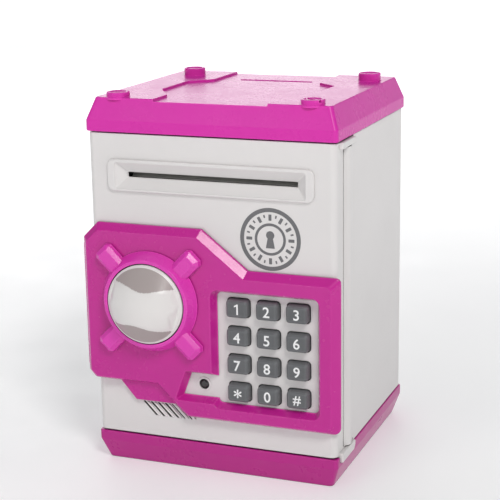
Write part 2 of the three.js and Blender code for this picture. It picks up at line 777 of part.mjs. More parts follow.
function latchBolt() {
  const { module } = pinion;
  const pitch = Math.PI * module;
  const slope = Math.tan(THREE.MathUtils.degToRad(20));
  const tip = rackPitchZ - 0.9 * module;
  const halfAt = (z) => pitch / 4 - 0.1 - (rackPitchZ - z) * slope;
  const top = latchBottom + latch.height;
  let bolt = box([latch.tip, latch.front, latchBottom], [latch.right, latch.back, top]);
  for (let i = -2; i <= 5; i++) {
    const x = knob.x + i * pitch;
    const tooth = outline([
      [x - halfAt(tip), tip],
      [x + halfAt(tip), tip],
      [x + halfAt(latchBottom), latchBottom + 0.1],
      [x - halfAt(latchBottom), latchBottom + 0.1],
    ]);
    bolt = join(bolt, prism("Y", tooth, latch.back, latch.front));
  }
  const half = plunger.notch / 2;
  const notchBottom = top - plunger.travel;
  for (const x of [plunger.x, plunger.x + latch.travel]) {
    bolt = cut(bolt, box([x - half, latch.front - 1, notchBottom], [x + half, latch.back + 1, top + 1]));
  }
  const nose = outline([
    [latch.tip - 1, latch.back + 1],
    [latch.tip - 1, latch.back - 2],
    [latch.tip + 2, latch.back + 1],
  ]);
  return cut(bolt, prism("Z", nose, latchBottom - 1, top + 1));
}

function lockHousing() {
  const { left, right, bottom, top, front, back } = lockCase;
  const play = 0.35;
  const channel = box(
    [left - 1, latch.front - play, 92],
    [right + 1, latch.back + play, latchBottom + latch.height + play],
  );
  return cut(
    box([left, front, bottom], [right, back, top]),
    channel,
    rod("Y", 5, latch.front - play, latch.back + play, knobAt),
    rod("Y", spindle.neck + 0.4, -60, -40, knobAt),
    rod("Y", spindle.tail + 0.4, -42, -30, knobAt),
    rod("Z", plunger.radius + 0.4, 98, top + PAST, [plunger.x, (latch.front + latch.back) / 2, 0]),
  );
}

const plungerY = (latch.front + latch.back) / 2;
const solenoidBottom = lockCase.top + GAP;

function solenoidBody() {
  const bobbin = rod("Z", 4.4, solenoidBottom + 1, solenoidBottom + 15, [plunger.x, plungerY, 0]);
  const yokeBox = (inset) =>
    box(
      [plunger.x - 4.9 + inset, plungerY - 4.8 - inset, solenoidBottom + inset],
      [plunger.x + 4.9 - inset, plungerY + 4.8 + inset, solenoidBottom + 16 - inset],
    );
  const yoke = yokeBox(0);
  const window = yokeBox(1.3);
  const boreTop = solenoidBottom + 18;
  const bore = rod("Z", plunger.radius + GAP, solenoidBottom - 1, boreTop, [plunger.x, plungerY, 0]);
  return cut(join(cut(yoke, window), bobbin), bore);
}

function lockPlunger() {
  const low = latchBottom + latch.height + 0.6;
  return rod("Z", plunger.radius, low, solenoidBottom + 13, [plunger.x, plungerY, 0]);
}

// ---- banknote feeder ----
const driveZ = note.z + GAP / 2 + feed.driveRadius;
const idlerZ = note.z - GAP / 2 - feed.idlerRadius;
const reductionZ = driveZ - (gears.module * (gears.roller + gears.reduction)) / 2;
const motorZ = reductionZ - (gears.module * (gears.reduction + gears.motor)) / 2;

function feederFrame() {
  const { plateInner, plateOuter, y } = feed;
  const [near, far] = [-54.2, -36.4];
  const left = box([-plateOuter, near, 141.8], [-plateInner, far, 163.4]);
  const right = box([plateInner, near, 117], [plateOuter, far, 163.4]);
  const bars = [
    [near, -51.3, 147.4, 149.3],
    [-41, far, 147.4, 149.3],
    [near, -52.2, 152.7, 154.4],
    [-39.9, far, 152.7, 154.4],
  ].map(([y0, y1, z0, z1]) => box([-plateInner - 1, y0, z0], [plateInner + 1, y1, z1]));
  const stub = rod("X", 1.4, plateInner + 0.5, gears.left + gears.width + 1, [0, y, reductionZ]);
  return cut(
    join(left, right, ...bars, stub),
    rod("X", feed.shaft + 0.35, -60, 60, [0, y, driveZ]),
    rod("X", feed.shaft + 0.35, -60, 60, [0, y, idlerZ]),
    rod("X", 3.4, 40, 60, [0, y, motorZ]),
  );
}

// A gear on an axis along X. phase turns it by that share of a tooth pitch, to bring it into mesh.
function spurGear(teeth, z, bore, phase = 0) {
  const shape = gearOutline(teeth, gears.module, gears.backlash, bore);
  const flat = prism("X", shape, gears.left, gears.left + gears.width);
  return flat.rotate([(phase * 360) / teeth, 0, 0]).translate([0, feed.y, z]);
}

function tyre(x) {
  const half = 4.5;
  const bore = feed.shaft + 1.3;
  const profile = [
    [bore, x - half],
    [feed.driveRadius, x - half],
    [feed.driveRadius, x + half],
    [bore, x + half],
    [bore, x - half],
  ];
  return turned("X", profile, [0, feed.y, driveZ]);
}

function motorBody() {
  const can = rod("X", motor.radius, motor.left, motor.right - 3, [0, feed.y, motorZ], ROUND_STEPS);
  const flats = box([0, feed.y - motor.flat, motorZ - 20], [60, feed.y + motor.flat, motorZ + 20]);
  const nose = rod("X", 3, motor.right - 3.1, motor.right + 1, [0, feed.y, motorZ]);
  return cut(join(can.intersect(flats), nose), rod("X", 1.4, 34, 60, [0, feed.y, motorZ]));
}

function motorPinion() {
  const shaft = rod("X", 1, 36, gears.left + gears.width + 0.8, [0, feed.y, motorZ]);
  return join(spurGear(gears.motor, motorZ, 0), shaft);
}

// A lead bundle along a smooth route.
function lead(points) {
  const extrudePath = new THREE.CatmullRomCurve3(points.map((p) => new THREE.Vector3(...p)));
  const radius = 0.9;
  const options = { steps: 11, bevelEnabled: false, extrudePath };
  return solid(new THREE.ExtrudeGeometry(polygon(8, radius), options));
}

// ---- build: cabinet side ----
piece("base_tray", baseTray(), plastic(PINK, 0.35));
piece("battery_cover", batteryCover(), plastic(PINK, 0.4));
piece(
  "battery_cover_screw",
  screw("Z", [coverTab.screwX, coverTab.screwY, 0], 9, 1.3, 0.5, 1.2, 2.4),
  metal(STEEL, 0.35),
);
const cellYs = [-1, 0, 1].map((i) => cell.middleY + i * cell.pitch);
cellYs.forEach((y, i) => piece("battery_" + (i + 1), dryCell(y, i === 1 ? -1 : 1), metal(0x3b4a5e, 0.4)));
piece("contact_right_link", contact(1, [[cellYs[0], "bump"], [cellYs[1], "spring"]]), metal(STEEL, 0.3));
piece("contact_right_end", contact(1, [[cellYs[2], "bump"]]), metal(STEEL, 0.3));
piece("contact_left_link", contact(-1, [[cellYs[1], "bump"], [cellYs[2], "spring"]]), metal(STEEL, 0.3));
piece("contact_left_end", contact(-1, [[cellYs[0], "spring"]]), metal(STEEL, 0.3));
caseScrews.forEach(([x, y], i) =>
  piece("base_screw_" + (i + 1), screw("Z", [x, y, 0], 24, 3.7, 1.4, 1.35, 3), metal(STEEL, 0.35)),
);
piece("cabinet_shell", cabinetShell(), plastic(WHITE, 0.4));
piece("lid", lidShell(), plastic(PINK, 0.3));

// ---- build: door side ----
piece("door_shell", doorShell(), plastic(WHITE, 0.4));
piece("front_panel", frontPanel(), plastic(PINK, 0.3));
piece("door_inner_cover", innerCover(), plastic(INNER, 0.5));
coverScrews.forEach(([x, z], i) =>
  piece(
    "cover_screw_" + (i + 1),
    screw("Y", [x, 0, z], door.front + 4, flange.back - 1.4, flange.back - 0.2, 1.2, 2.6),
    metal(STEEL, 0.35),
  ),
);
for (const [name, from, to] of [
  ["hinge_pin_lower", ear.bottom + GAP, hinge.bottom + pinLength - 1],
  ["hinge_pin_upper", hinge.top - pinLength + 1, ear.top - GAP],
]) {
  piece(name, rod("Z", hinge.pinRadius, from, to, [hinge.x, hinge.y, 0]), metal(STEEL, 0.3));
}
piece("keypad_membrane", box([6, -53.2, 39.5], [54, -52.3, 97]), plastic(0x3a3a3c, 0.8));
piece("keypad_board", box([-10, -52, 38.5], [54, -50.4, 98]), plastic(0x1f6b43, 0.6));
piece(
  "status_led",
  join(
    rod("Y", led.radius - GAP, door.front - 0.3, door.front + 4, [led.x, 0, led.z]),
    rod("Y", led.radius + 0.4, door.front + door.skin + GAP, door.front + 4, [led.x, 0, led.z]),
  ),
  plastic(0x2c2c2e, 0.2),
);
piece(
  "speaker",
  turned(
    "Y",
    [
      [0, -48.9],
      [8, -48.9],
      [8, -51.6],
      [12, -53],
      [13, -53],
      [13, -55.6],
      [11.6, -55.6],
      [4, -53.6],
      [0, -54.2],
    ],
    [-29, 0, 33.5],
  ),
  plastic(0x2a2a2c, 0.6),
);

// ---- build: keys ----
const keyNames = ["1", "2", "3", "4", "5", "6", "7", "8", "9", "star", "0", "hash"];
keyNames.forEach((name, i) => piece("key_" + name, keyCap(...keyCentres[i]), plastic(RUBBER_GREY, 0.6)));

// ---- build: lock ----
piece("knob_hub", knobHub(), plastic(PINK, 0.3));
piece("knob_cap", knobCap(), plastic(WHITE, 0.35));
piece("knob_spindle", knobSpindle(), plastic(INNER, 0.5));
piece("latch_bolt", latchBolt(), plastic(INNER, 0.5));
piece("lock_case", lockHousing(), plastic(0x8f9296, 0.5));
piece("lock_solenoid", solenoidBody(), metal(0x9a9da0, 0.45));
piece("lock_plunger", lockPlunger(), metal(STEEL, 0.3));

// ---- build: banknote feeder ----
piece("feeder_frame", feederFrame(), plastic(0x3b3c3f, 0.55));
piece("drive_roller_shaft", rod("X", feed.shaft, -48.2, 51.8, [0, feed.y, driveZ]), metal(STEEL, 0.3));
piece("drive_tyre_left", tyre(-20), plastic(0x222224, 0.85));
piece("drive_tyre_right", tyre(20), plastic(0x222224, 0.85));
piece("roller_gear", spurGear(gears.roller, driveZ, feed.shaft + GAP), plastic(INNER, 0.5));
piece("reduction_gear", spurGear(gears.reduction, reductionZ, 1.7, 0.5), plastic(INNER, 0.5));
piece("motor_pinion", motorPinion(), metal(0xb99a55, 0.35));
piece("feeder_motor", motorBody(), metal(0xa9acb0, 0.35));
piece(
  "idler_roller",
  join(
    rod("X", feed.idlerRadius, -45, 45, [0, feed.y, idlerZ], ROUND_STEPS),
    rod("X", feed.shaft, -47.4, 47.4, [0, feed.y, idlerZ]),
  ),
  plastic(INNER, 0.5),
);

// ---- build: leads held inside the door ----
const leadMaterial = () => plastic(0x8e2020, 0.6);
piece(
  "motor_lead",
  lead([
    [19.6, -46, motorZ],
    [16, -46, motorZ],
    [14, -45, 112],
    [20, -45.5, 94],
    [20, -49.8, 94],
  ]),
  leadMaterial(),
);
piece(
  "solenoid_lead",
  lead([
    [-45.5, plungerY, solenoidBottom + 16.4],
    [-45.5, plungerY, solenoidBottom + 20],
    [-12, -42, 122],
    [9, -45.5, 94],
    [9, -49.8, 94],
  ]),
  leadMaterial(),
);
piece(
  "speaker_lead",
  lead([
    [-29, -48.5, 33.5],
    [-29, -45.5, 33.5],
    [-6, -44, 42],
    [8, -45.5, 46],
    [8, -49.8, 46],
  ]),
  leadMaterial(),
);

export default safe;
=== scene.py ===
"""Looks of the toy safe coin bank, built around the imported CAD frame.

Sizes in this script are in millimetres and become metres when a mesh is made.
X runs to the right, Y to the back and Z up; the origin is the middle of the base's underside.
"""
import math

import bmesh
import bpy
from mathutils import Matrix, Vector


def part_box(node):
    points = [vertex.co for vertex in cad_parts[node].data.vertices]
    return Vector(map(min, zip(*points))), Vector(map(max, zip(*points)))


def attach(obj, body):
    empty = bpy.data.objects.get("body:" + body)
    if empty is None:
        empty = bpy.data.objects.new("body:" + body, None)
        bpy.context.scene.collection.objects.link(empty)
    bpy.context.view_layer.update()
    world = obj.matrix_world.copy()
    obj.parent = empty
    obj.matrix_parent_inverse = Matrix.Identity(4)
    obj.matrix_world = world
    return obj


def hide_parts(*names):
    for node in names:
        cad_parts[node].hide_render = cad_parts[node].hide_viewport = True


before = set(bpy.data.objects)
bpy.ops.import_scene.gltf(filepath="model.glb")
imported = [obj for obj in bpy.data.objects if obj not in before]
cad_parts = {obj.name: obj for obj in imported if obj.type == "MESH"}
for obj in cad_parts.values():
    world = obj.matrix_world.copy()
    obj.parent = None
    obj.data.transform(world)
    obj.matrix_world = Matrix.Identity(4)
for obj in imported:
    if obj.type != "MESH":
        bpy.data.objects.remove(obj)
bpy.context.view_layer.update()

MM = 0.001
PAST = 5.0  # how far a cutting tool runs past the face that it cuts
TINY = 0.03  # the smallest radius that a corner keeps when its outline shrinks
ROUND = 72  # steps round a full circle on a turned piece


def box_mm(node):
    """Lowest and highest corners of a CAD node, in millimetres."""
    low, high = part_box(node)
    return low / MM, high / MM


# ---- outlines: lists of (u, v) in millimetres, anticlockwise ----
def soften(corners, radii, steps=5, closed=True):
    """Rounds the corners of a path. A radius of 0 keeps the corner as one point."""
    points = []
    last = len(corners) - 1
    for i, corner in enumerate(corners):
        here = Vector(corner)
        radius = radii[i] if isinstance(radii, (list, tuple)) else radii
        if radius == 0 or (not closed and i in (0, last)):
            points.append((here.x, here.y))
            continue
        arriving = (here - Vector(corners[i - 1])).normalized()
        leaving = (Vector(corners[(i + 1) % len(corners)]) - here).normalized()
        turn = math.atan2(arriving.cross(leaving), arriving.dot(leaving))
        start = here - arriving * (radius * math.tan(abs(turn) / 2))
        side = Vector((-arriving.y, arriving.x)) * math.copysign(1, turn)
        centre = start + side * radius
        for step in range(steps + 1):
            arm = Matrix.Rotation(turn * step / steps, 2) @ (start - centre)
            points.append((centre.x + arm.x, centre.y + arm.y))
    return points


def open_path(corners, radii):
    """A path with two ends, its corners rounded."""
    return soften(corners, radii, 4, closed=False)


def arc(radius, start, end, steps, centre=(0, 0)):
    """Points round a centre, from one angle to another in radians."""
    angles = [start + (end - start) * step / steps for step in range(steps + 1)]
    return [(centre[0] + radius * math.cos(a), centre[1] + radius * math.sin(a)) for a in angles]


def circle(radius, steps, centre=(0, 0)):
    return arc(radius, 0.0, 2 * math.pi, steps, centre)[:-1]


def shrunk(corners, inset):
    """A closed outline's corners with every edge moved inwards by inset."""
    edges = []
    for i, corner in enumerate(corners):
        start = Vector(corner)
        along = (Vector(corners[(i + 1) % len(corners)]) - start).normalized()
        edges.append((start + Vector((-along.y, along.x)) * inset, along))
    moved = []
    for (a, along_a), (b, along_b) in zip([edges[-1]] + edges[:-1], edges):
        reach = (b - a).cross(along_b) / along_a.cross(along_b)
        crossing = a + along_a * reach
        moved.append((crossing.x, crossing.y))
    return moved


def convex(corners, i):
    here = Vector(corners[i])
    arriving = here - Vector(corners[i - 1])
    leaving = Vector(corners[(i + 1) % len(corners)]) - here
    return arriving.cross(leaving) > 0


def section(corners, radii, steps=5):
    """A function that gives the outline at any inset; the corner radii follow the offset."""
    each = list(radii) if isinstance(radii, (list, tuple)) else [radii] * len(corners)

    def outline_at(inset):
        signs = [-1 if convex(corners, i) else 1 for i in range(len(corners))]
        offset_radii = [max(r + s * inset, TINY) for r, s in zip(each, signs)]
        return soften(shrunk(corners, inset), offset_radii, steps)

    return outline_at


def rectangle(left, bottom, right, top):
    return [(right, bottom), (right, top), (left, top), (left, bottom)]


def rounded(left, bottom, right, top, radii, steps):
    """A rectangle's section; four radii go round from its bottom right corner."""
    return section(rectangle(left, bottom, right, top), radii, steps)


def rounded_box(half_u, half_v, radius, steps=8):
    return rounded(-half_u, -half_v, half_u, half_v, radius, steps)


def shifted(outline_at, u, v):
    return lambda inset: [(a + u, b + v) for a, b in outline_at(inset)]


def quarter(radius, steps=4):
    """Points of a quarter round as (inset, rise), from the flat face to the wall."""
    angles = [math.pi / 2 * step / steps for step in range(steps + 1)]
    return [(radius * (1 - math.sin(a)), radius * (1 - math.cos(a))) for a in angles]


# ---- solids ----
AXES = {"X": (1, 2, 0), "Y": (0, 2, 1), "Z": (0, 1, 2)}


def placed(plane, u, v, along):
    point = [0, 0, 0]
    for axis, value in zip(AXES[plane], (u, v, along)):
        point[axis] = value * MM
    return point


def new_object(name, data):
    made = bpy.data.objects.new(name, data)
    bpy.context.scene.collection.objects.link(made)
    return made


def new_mesh(name, mesh):
    """A bmesh as mesh data; the bmesh is used up."""
    data = bpy.data.meshes.new(name)
    mesh.to_mesh(data)
    mesh.free()
    return data


def to_object(mesh, name="part"):
    bmesh.ops.recalc_face_normals(mesh, faces=mesh.faces)
    return new_object(name, new_mesh(name, mesh))


def evaluated(holder):
    """An object's mesh with its modifiers, or its text, worked out."""
    graph = bpy.context.evaluated_depsgraph_get()
    return bpy.data.meshes.new_from_object(holder.evaluated_get(graph))


def loft(plane, outline_at, stations):
    """A closed solid: at each station (inset, place) its section is outline_at(inset)."""
    mesh = bmesh.new()
    rings = []
    for inset, along in stations:
        rings.append([mesh.verts.new(placed(plane, u, v, along)) for u, v in outline_at(inset)])
    count = len(rings[0])
    for lower, upper in zip(rings, rings[1:]):
        for i in range(count):
            j = (i + 1) % count
            mesh.faces.new((lower[i], lower[j], upper[j], upper[i]))
    mesh.faces.new(rings[0][::-1])
    mesh.faces.new(rings[-1])
    return to_object(mesh)


def slab(plane, outline_at, start, end, start_round=0.0, end_round=0.0):
    """A solid between two planes whose end edges are rounded."""
    way = math.copysign(1, end - start)
    stations = [(0, start)]
    if start_round:
        stations = [(inset, start + way * rise) for inset, rise in quarter(start_round)]
    tail = [(0, end)]
    if end_round:
        tail = [(inset, end - way * rise) for inset, rise in reversed(quarter(end_round))]
    return loft(plane, outline_at, stations + tail)


def block(low, high, edge=0.0):
    """An upright box with rounded upright and end edges."""
    middle_x, middle_y = (low[0] + high[0]) / 2, (low[1] + high[1]) / 2
    outline = rounded_box((high[0] - low[0]) / 2, (high[1] - low[1]) / 2, max(edge, TINY), 3)
    return moved(slab("Z", outline, low[2], high[2], edge, edge), middle_x, middle_y)


def hole(plane, outline_at, face, depth, lip=0.3):
    """A cutting tool that enters at a face, with a rounded lip; depth's sign gives the way in."""
    way = math.copysign(1, depth)
    mouth = [(-inset, face + way * rise) for inset, rise in quarter(lip)]
    return loft(plane, outline_at, [(-lip, face - way * PAST)] + mouth + [(0, face + depth)])


def turned(axis, path, at=(0, 0), radii=0.0, steps=ROUND):
    """A solid of revolution. Path points are (radius, place along the axis)."""
    mesh = bmesh.new()
    rings = []
    for radius, along in open_path(path, radii):
        points = [at] if radius < TINY else circle(radius, steps, at)
        rings.append([mesh.verts.new(placed(axis, u, v, along)) for u, v in points])
    if len(rings[0]) > 1:
        rings.append(rings[0])
    for lower, upper in zip(rings, rings[1:]):
        for i in range(steps):
            j = (i + 1) % steps
            low_i, low_j = lower[i % len(lower)], lower[j % len(lower)]
            up_i, up_j = upper[i % len(upper)], upper[j % len(upper)]
            face = list(dict.fromkeys([low_i, low_j, up_j, up_i]))
            if len(face) > 2:
                mesh.faces.new(face)
    return to_object(mesh)


def rod(axis, radius, start, end, at, edge=0.0, steps=ROUND):
    path = [(0, start), (radius, start), (radius, end), (0, end)]
    return turned(axis, path, at, [0, edge, edge, 0], steps)


def combine(target, operation, *others):
    """Joins to the target, or cuts from it, the other solids, which are used up."""
    for other in others:
        change = target.modifiers.new(operation, "BOOLEAN")
        change.operation = operation
        change.solver = "EXACT"
        change.object = other
    result = evaluated(target)
    target.modifiers.clear()
    target.data = result
    for other in others:
        bpy.data.objects.remove(other)
    return target


def cut(target, *tools):
    return combine(target, "DIFFERENCE", *tools)


def join(target, *others):
    return combine(target, "UNION", *others)


def merged(objects):
    """Several separate solids as one object, with no boolean."""
    mesh = bmesh.new()
    for part in objects:
        mesh.from_mesh(part.data)
        bpy.data.objects.remove(part)
    return to_object(mesh)


def moved(piece, x=0.0, y=0.0, z=0.0):
    """Shifts a piece's mesh by that many millimetres."""
    piece.data.transform(Matrix.Translation((x * MM, y * MM, z * MM)))
    return piece


def turned_about(piece, axis, degrees, at):
    """Turns a piece's mesh about an axis through the point at, in millimetres."""
    pivot = Matrix.Translation(Vector(at) * MM)
    turn = Matrix.Rotation(math.radians(degrees), 4, axis)
    piece.data.transform(pivot @ turn @ pivot.inverted())
    return piece


# ---- finishing ----
SMOOTH_BELOW = math.radians(38)
WELD_WITHIN = 0.004 * MM


def finish(piece, name, body, material, nodes=()):
    """Cleans a mesh, shades it, names it and puts it on its body."""
    mesh = bmesh.new()
    mesh.from_mesh(piece.data)
    bmesh.ops.remove_doubles(mesh, verts=mesh.verts, dist=WELD_WITHIN)
    bmesh.ops.dissolve_degenerate(mesh, edges=mesh.edges, dist=WELD_WITHIN)
    bmesh.ops.dissolve_limit(mesh, angle_limit=math.radians(0.05), verts=mesh.verts, edges=mesh.edges)
    mesh.to_mesh(piece.data)
    mesh.free()
    piece.name = name
    piece.data.name = name
    piece.data.shade_smooth()
    piece.data.set_sharp_from_angle(angle=SMOOTH_BELOW)
    weighted = piece.modifiers.new("weighted_normals", "WEIGHTED_NORMAL")
    weighted.keep_sharp = True
    piece.data.materials.clear()
    piece.data.materials.append(material)
    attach(piece, body)
    if nodes:
        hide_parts(*nodes)
    return piece


# ---- materials ----
def linear(red, green, blue):
    """An sRGB colour of 0 to 255 as the shader's linear colour."""
    parts = [c / 255 for c in (red, green, blue)]
    return tuple(p / 12.92 if p <= 0.04045 else ((p + 0.055) / 1.055) ** 2.4 for p in parts) + (1.0,)


def scaled(colour, factor):
    return tuple(min(1.0, c * factor) for c in colour[:3]) + (1.0,)


class Shader:
    """A material's node tree, with short calls to add nodes and links."""

    def __init__(self, name):
        self.material = bpy.data.materials.new(name)
        self.material.use_nodes = True
        self.tree = self.material.node_tree
        self.surface = self.tree.nodes["Principled BSDF"]
        coordinates = self.tree.nodes.new("ShaderNodeTexCoord")
        self.place = coordinates.outputs["Object"]

    def link(self, source, target):
        self.tree.links.new(source, target)

    def uniform(self, **values):
        """Sets numbers on the surface's own sockets."""
        for name, value in values.items():
            self.surface.inputs[name.replace("_", " ")].default_value = value

    def add(self, kind, **inputs):
        made = self.tree.nodes.new(kind)
        for name, value in inputs.items():
            socket = made.inputs[name.replace("_", " ")]
            if hasattr(value, "is_output"):
                self.link(value, socket)
            else:
                socket.default_value = value
        return made

    def noise(self, millimetres, detail=3.0, stretch=None):
        """Noise whose features are about that many millimetres across."""
        source = self.place
        if stretch:
            mapping = self.add("ShaderNodeMapping", Vector=source, Scale=stretch)
            source = mapping.outputs["Vector"]
        made = self.add("ShaderNodeTexNoise", Vector=source, Scale=1 / (millimetres * MM), Detail=detail)
        return made.outputs["Fac"]

    def spread(self, value, low, high, start=0.3, end=0.7):
        """A noise value mapped to run from low to high."""
        ends = {"From_Min": start, "From_Max": end, "To_Min": low, "To_Max": high}
        return self.add("ShaderNodeMapRange", Value=value, **ends).outputs["Result"]

    def blend(self, factor, first, second):
        made = self.tree.nodes.new("ShaderNodeMix")
        made.data_type = "RGBA"
        self.link(factor, made.inputs["Factor"])
        for value, name in ((first, "A"), (second, "B")):
            sockets = [s for s in made.inputs if s.name == name and s.type == "RGBA"]
            if hasattr(value, "is_output"):
                self.link(value, sockets[0])
            else:
                sockets[0].default_value = value
        return [s for s in made.outputs if s.type == "RGBA"][0]

    def maths(self, operation, first, second):
        made = self.tree.nodes.new("ShaderNodeMath")
        made.operation = operation
        self.link(first, made.inputs[0])
        self.link(second, made.inputs[1])
        return made.outputs["Value"]

    def relief(self, heights):
        """Bumps laid over each other: (height, strength, depth in millimetres)."""
        normal = None
        for height, strength, depth in heights:
            made = self.add("ShaderNodeBump", Strength=strength, Distance=depth * MM, Height=height)
            if normal:
                self.link(normal, made.inputs["Normal"])
            normal = made.outputs["Normal"]
        self.link(normal, self.surface.inputs["Normal"])

    def colour(self, value):
        self.link(value, self.surface.inputs["Base Color"])

    def roughness(self, value):
        self.link(value, self.surface.inputs["Roughness"])


def edges(shader, millimetres=0.7, sharp=0.35, flat=0.85):
    """1 on a convex edge and 0 on a flat face, from how soon the inside of the solid ends."""
    made = shader.add("ShaderNodeAmbientOcclusion", Distance=millimetres * MM)
    made.inside = True
    made.samples = 6
    return shader.spread(made.outputs["AO"], 1.0, 0.0, sharp, flat)


def crevices(shader, millimetres):
    """1 in the open and towards 0 in gaps and corners."""
    made = shader.add("ShaderNodeAmbientOcclusion", Distance=millimetres * MM)
    made.samples = 8
    return made.outputs["AO"]


def moulded(
    name, colour, roughness, coat, grain, dust_and_shade_colour, edge_scuff_and_highlight=1.12, dust_and_shade=0.28, seam=0.3, level=0.36, painted_edge_highlight=0.0
):
    """Moulded plastic with faint flow clouds, orange peel, edges lightened by scuffing and a painted highlight,
    and grime with painted shade in the gaps.

    Grain is the orange peel's depth in millimetres. The edge factor and the highlight lift make the edges
    lighter, as scuffing and a painted highlight; the two gap amounts say how much grime and painted shade the
    gaps take, and level is the shader's specular level.
    """
    shader = Shader(name)
    shader.uniform(IOR=1.5, Specular_IOR_Level=level, Coat_Weight=coat, Coat_Roughness=0.1)
    clouds = shader.spread(shader.noise(48, 2), 0.0, 1.0)
    body = shader.blend(clouds, scaled(colour, 0.98), scaled(colour, 1.015))
    # Convex edges lightened to a lighter tint: partly scuffing, partly a painted highlight.
    lighter_edges = shader.spread(edges(shader, 0.8, 0.45, 0.95), 0.0, 0.3 + painted_edge_highlight, 0.0, 1.0)
    scuffed_and_highlit_tint = tuple(min(1.0, c * edge_scuff_and_highlight + painted_edge_highlight * 0.1) for c in colour[:3]) + (1.0,)
    body = shader.blend(lighter_edges, body, scuffed_and_highlit_tint)
    # Painted shade with grime: the colour darkens towards a grime tone wherever the 5 mm occlusion closes in.
    openness = crevices(shader, 5)
    dust_and_shade_mask = shader.spread(openness, dust_and_shade, 0.0, 0.15, 0.7)
    body = shader.blend(dust_and_shade_mask, body, scaled(linear(*dust_and_shade_colour), 0.9))
    # The narrowest gaps go nearly black: grime and painted shade.
    gap = shader.spread(openness, 0.93, 0.0, 0.03, seam)
    shader.colour(shader.blend(gap, body, scaled(linear(*dust_and_shade_colour), 0.12)))
    broad = shader.spread(shader.noise(30, 2), roughness - 0.02, roughness + 0.02)
    fine = shader.spread(shader.noise(4, 2), 0.0, 0.03, 0.4, 0.7)
    shader.roughness(shader.maths("ADD", broad, fine))
    shader.relief([(shader.noise(5, 1), 0.25, grain), (shader.noise(0.35, 2), 0.2, grain * 0.3)])
    return shader.material


def rubber(name, colour, roughness=0.62):
    """Silicone rubber with a fine tooth, light flecks and edges lightened to a painted highlight with some
    scuffing.
    """
    shader = Shader(name)
    shader.uniform(Sheen_Weight=0.12, Sheen_Roughness=0.5, Specular_IOR_Level=0.42)
    clouds = shader.spread(shader.noise(7, 3), 0.0, 1.0)
    body = shader.blend(clouds, scaled(colour, 0.94), scaled(colour, 1.07))
    grit = shader.spread(shader.noise(0.28, 2), 0.0, 0.4, 0.55, 0.75)
    body = shader.blend(grit, body, scaled(colour, 1.3))
    # Edges and chamfers lightened up to twice the colour: a painted highlight, with some scuffing.
    lighter_edges = shader.spread(edges(shader, 1.4, 0.55, 0.97), 0.0, 0.8, 0.0, 1.0)
    shader.colour(shader.blend(lighter_edges, body, scaled(colour, 2.0)))
    shader.roughness(shader.spread(shader.noise(5, 3), roughness - 0.1, roughness + 0.06))
    shader.relief([(shader.noise(0.3, 3), 0.45, 0.02), (shader.noise(3, 2), 0.25, 0.02)])
    return shader.material


def metal(name, colour, roughness=0.3, stretch=(1.0, 1.0, 8.0)):
    """Plated metal with drawing lines, tarnish clouds and small pits."""
    shader = Shader(name)
    shader.uniform(Metallic=1.0)
    clouds = shader.spread(shader.noise(6, 4), 0.0, 1.0)
    body = shader.blend(clouds, scaled(colour, 0.82), scaled(colour, 1.06))
    lighter_edges = shader.spread(edges(shader), 0.0, 0.8, 0.0, 1.0)
    shader.colour(shader.blend(lighter_edges, body, scaled(colour, 1.3)))
    lines = shader.noise(0.5, 4, stretch=stretch)
    shader.roughness(shader.spread(lines, roughness - 0.08, roughness + 0.14))
    shader.relief([(lines, 0.25, 0.01), (shader.noise(1.2, 3), 0.2, 0.015)])
    return shader.material


def print_ink(name, colour):
    """Pad-printed ink: slightly uneven cover with a soft sheen."""
    shader = Shader(name)
    cover = shader.spread(shader.noise(0.6, 4), 0.0, 1.0, 0.35, 0.65)
    shader.colour(shader.blend(cover, scaled(colour, 0.93), scaled(colour, 1.08)))
    shader.roughness(shader.spread(shader.noise(2.5, 3), 0.4, 0.55))
    shader.relief([(shader.noise(0.4, 2), 0.3, 0.01)])
    return shader.material


def circuit(name):
    """Green lacquered board with copper lanes under the lacquer."""
    shader = Shader(name)
    green = linear(24, 92, 58)
    colours = {"Color1": scaled(green, 1.35), "Color2": green, "Mortar": scaled(green, 0.6)}
    pitch = 9 * MM
    lanes = shader.add("ShaderNodeTexBrick", Vector=shader.place, Scale=1 / pitch, Mortar_Size=0.03, **colours)
    clouds = shader.spread(shader.noise(12, 2), 0.0, 0.35)
    shader.colour(shader.blend(clouds, lanes.outputs["Color"], scaled(green, 0.7)))
    shader.roughness(shader.spread(shader.noise(4, 3), 0.25, 0.4))
    shader.relief([(lanes.outputs["Fac"], 0.3, 0.03)])
    return shader.material


def jacket(name, colour, band):
    """A printed battery sleeve: a dark body and a coloured band at one end, with no lettering."""
    shader = Shader(name)
    shader.uniform(Coat_Weight=0.6)
    parts = shader.add("ShaderNodeSeparateXYZ", Vector=shader.place)
    shift = shader.spread(parts.outputs["X"], 0.0, 1.0, 0.0125, 0.0127)
    body = shader.blend(shift, colour, band)
    clouds = shader.spread(shader.noise(3, 3), 0.0, 0.2)
    shader.colour(shader.blend(clouds, body, scaled(colour, 0.6)))
    shader.roughness(shader.spread(shader.noise(3, 3), 0.22, 0.36))
    shader.relief([(shader.noise(1.5, 2), 0.15, 0.02)])
    return shader.material


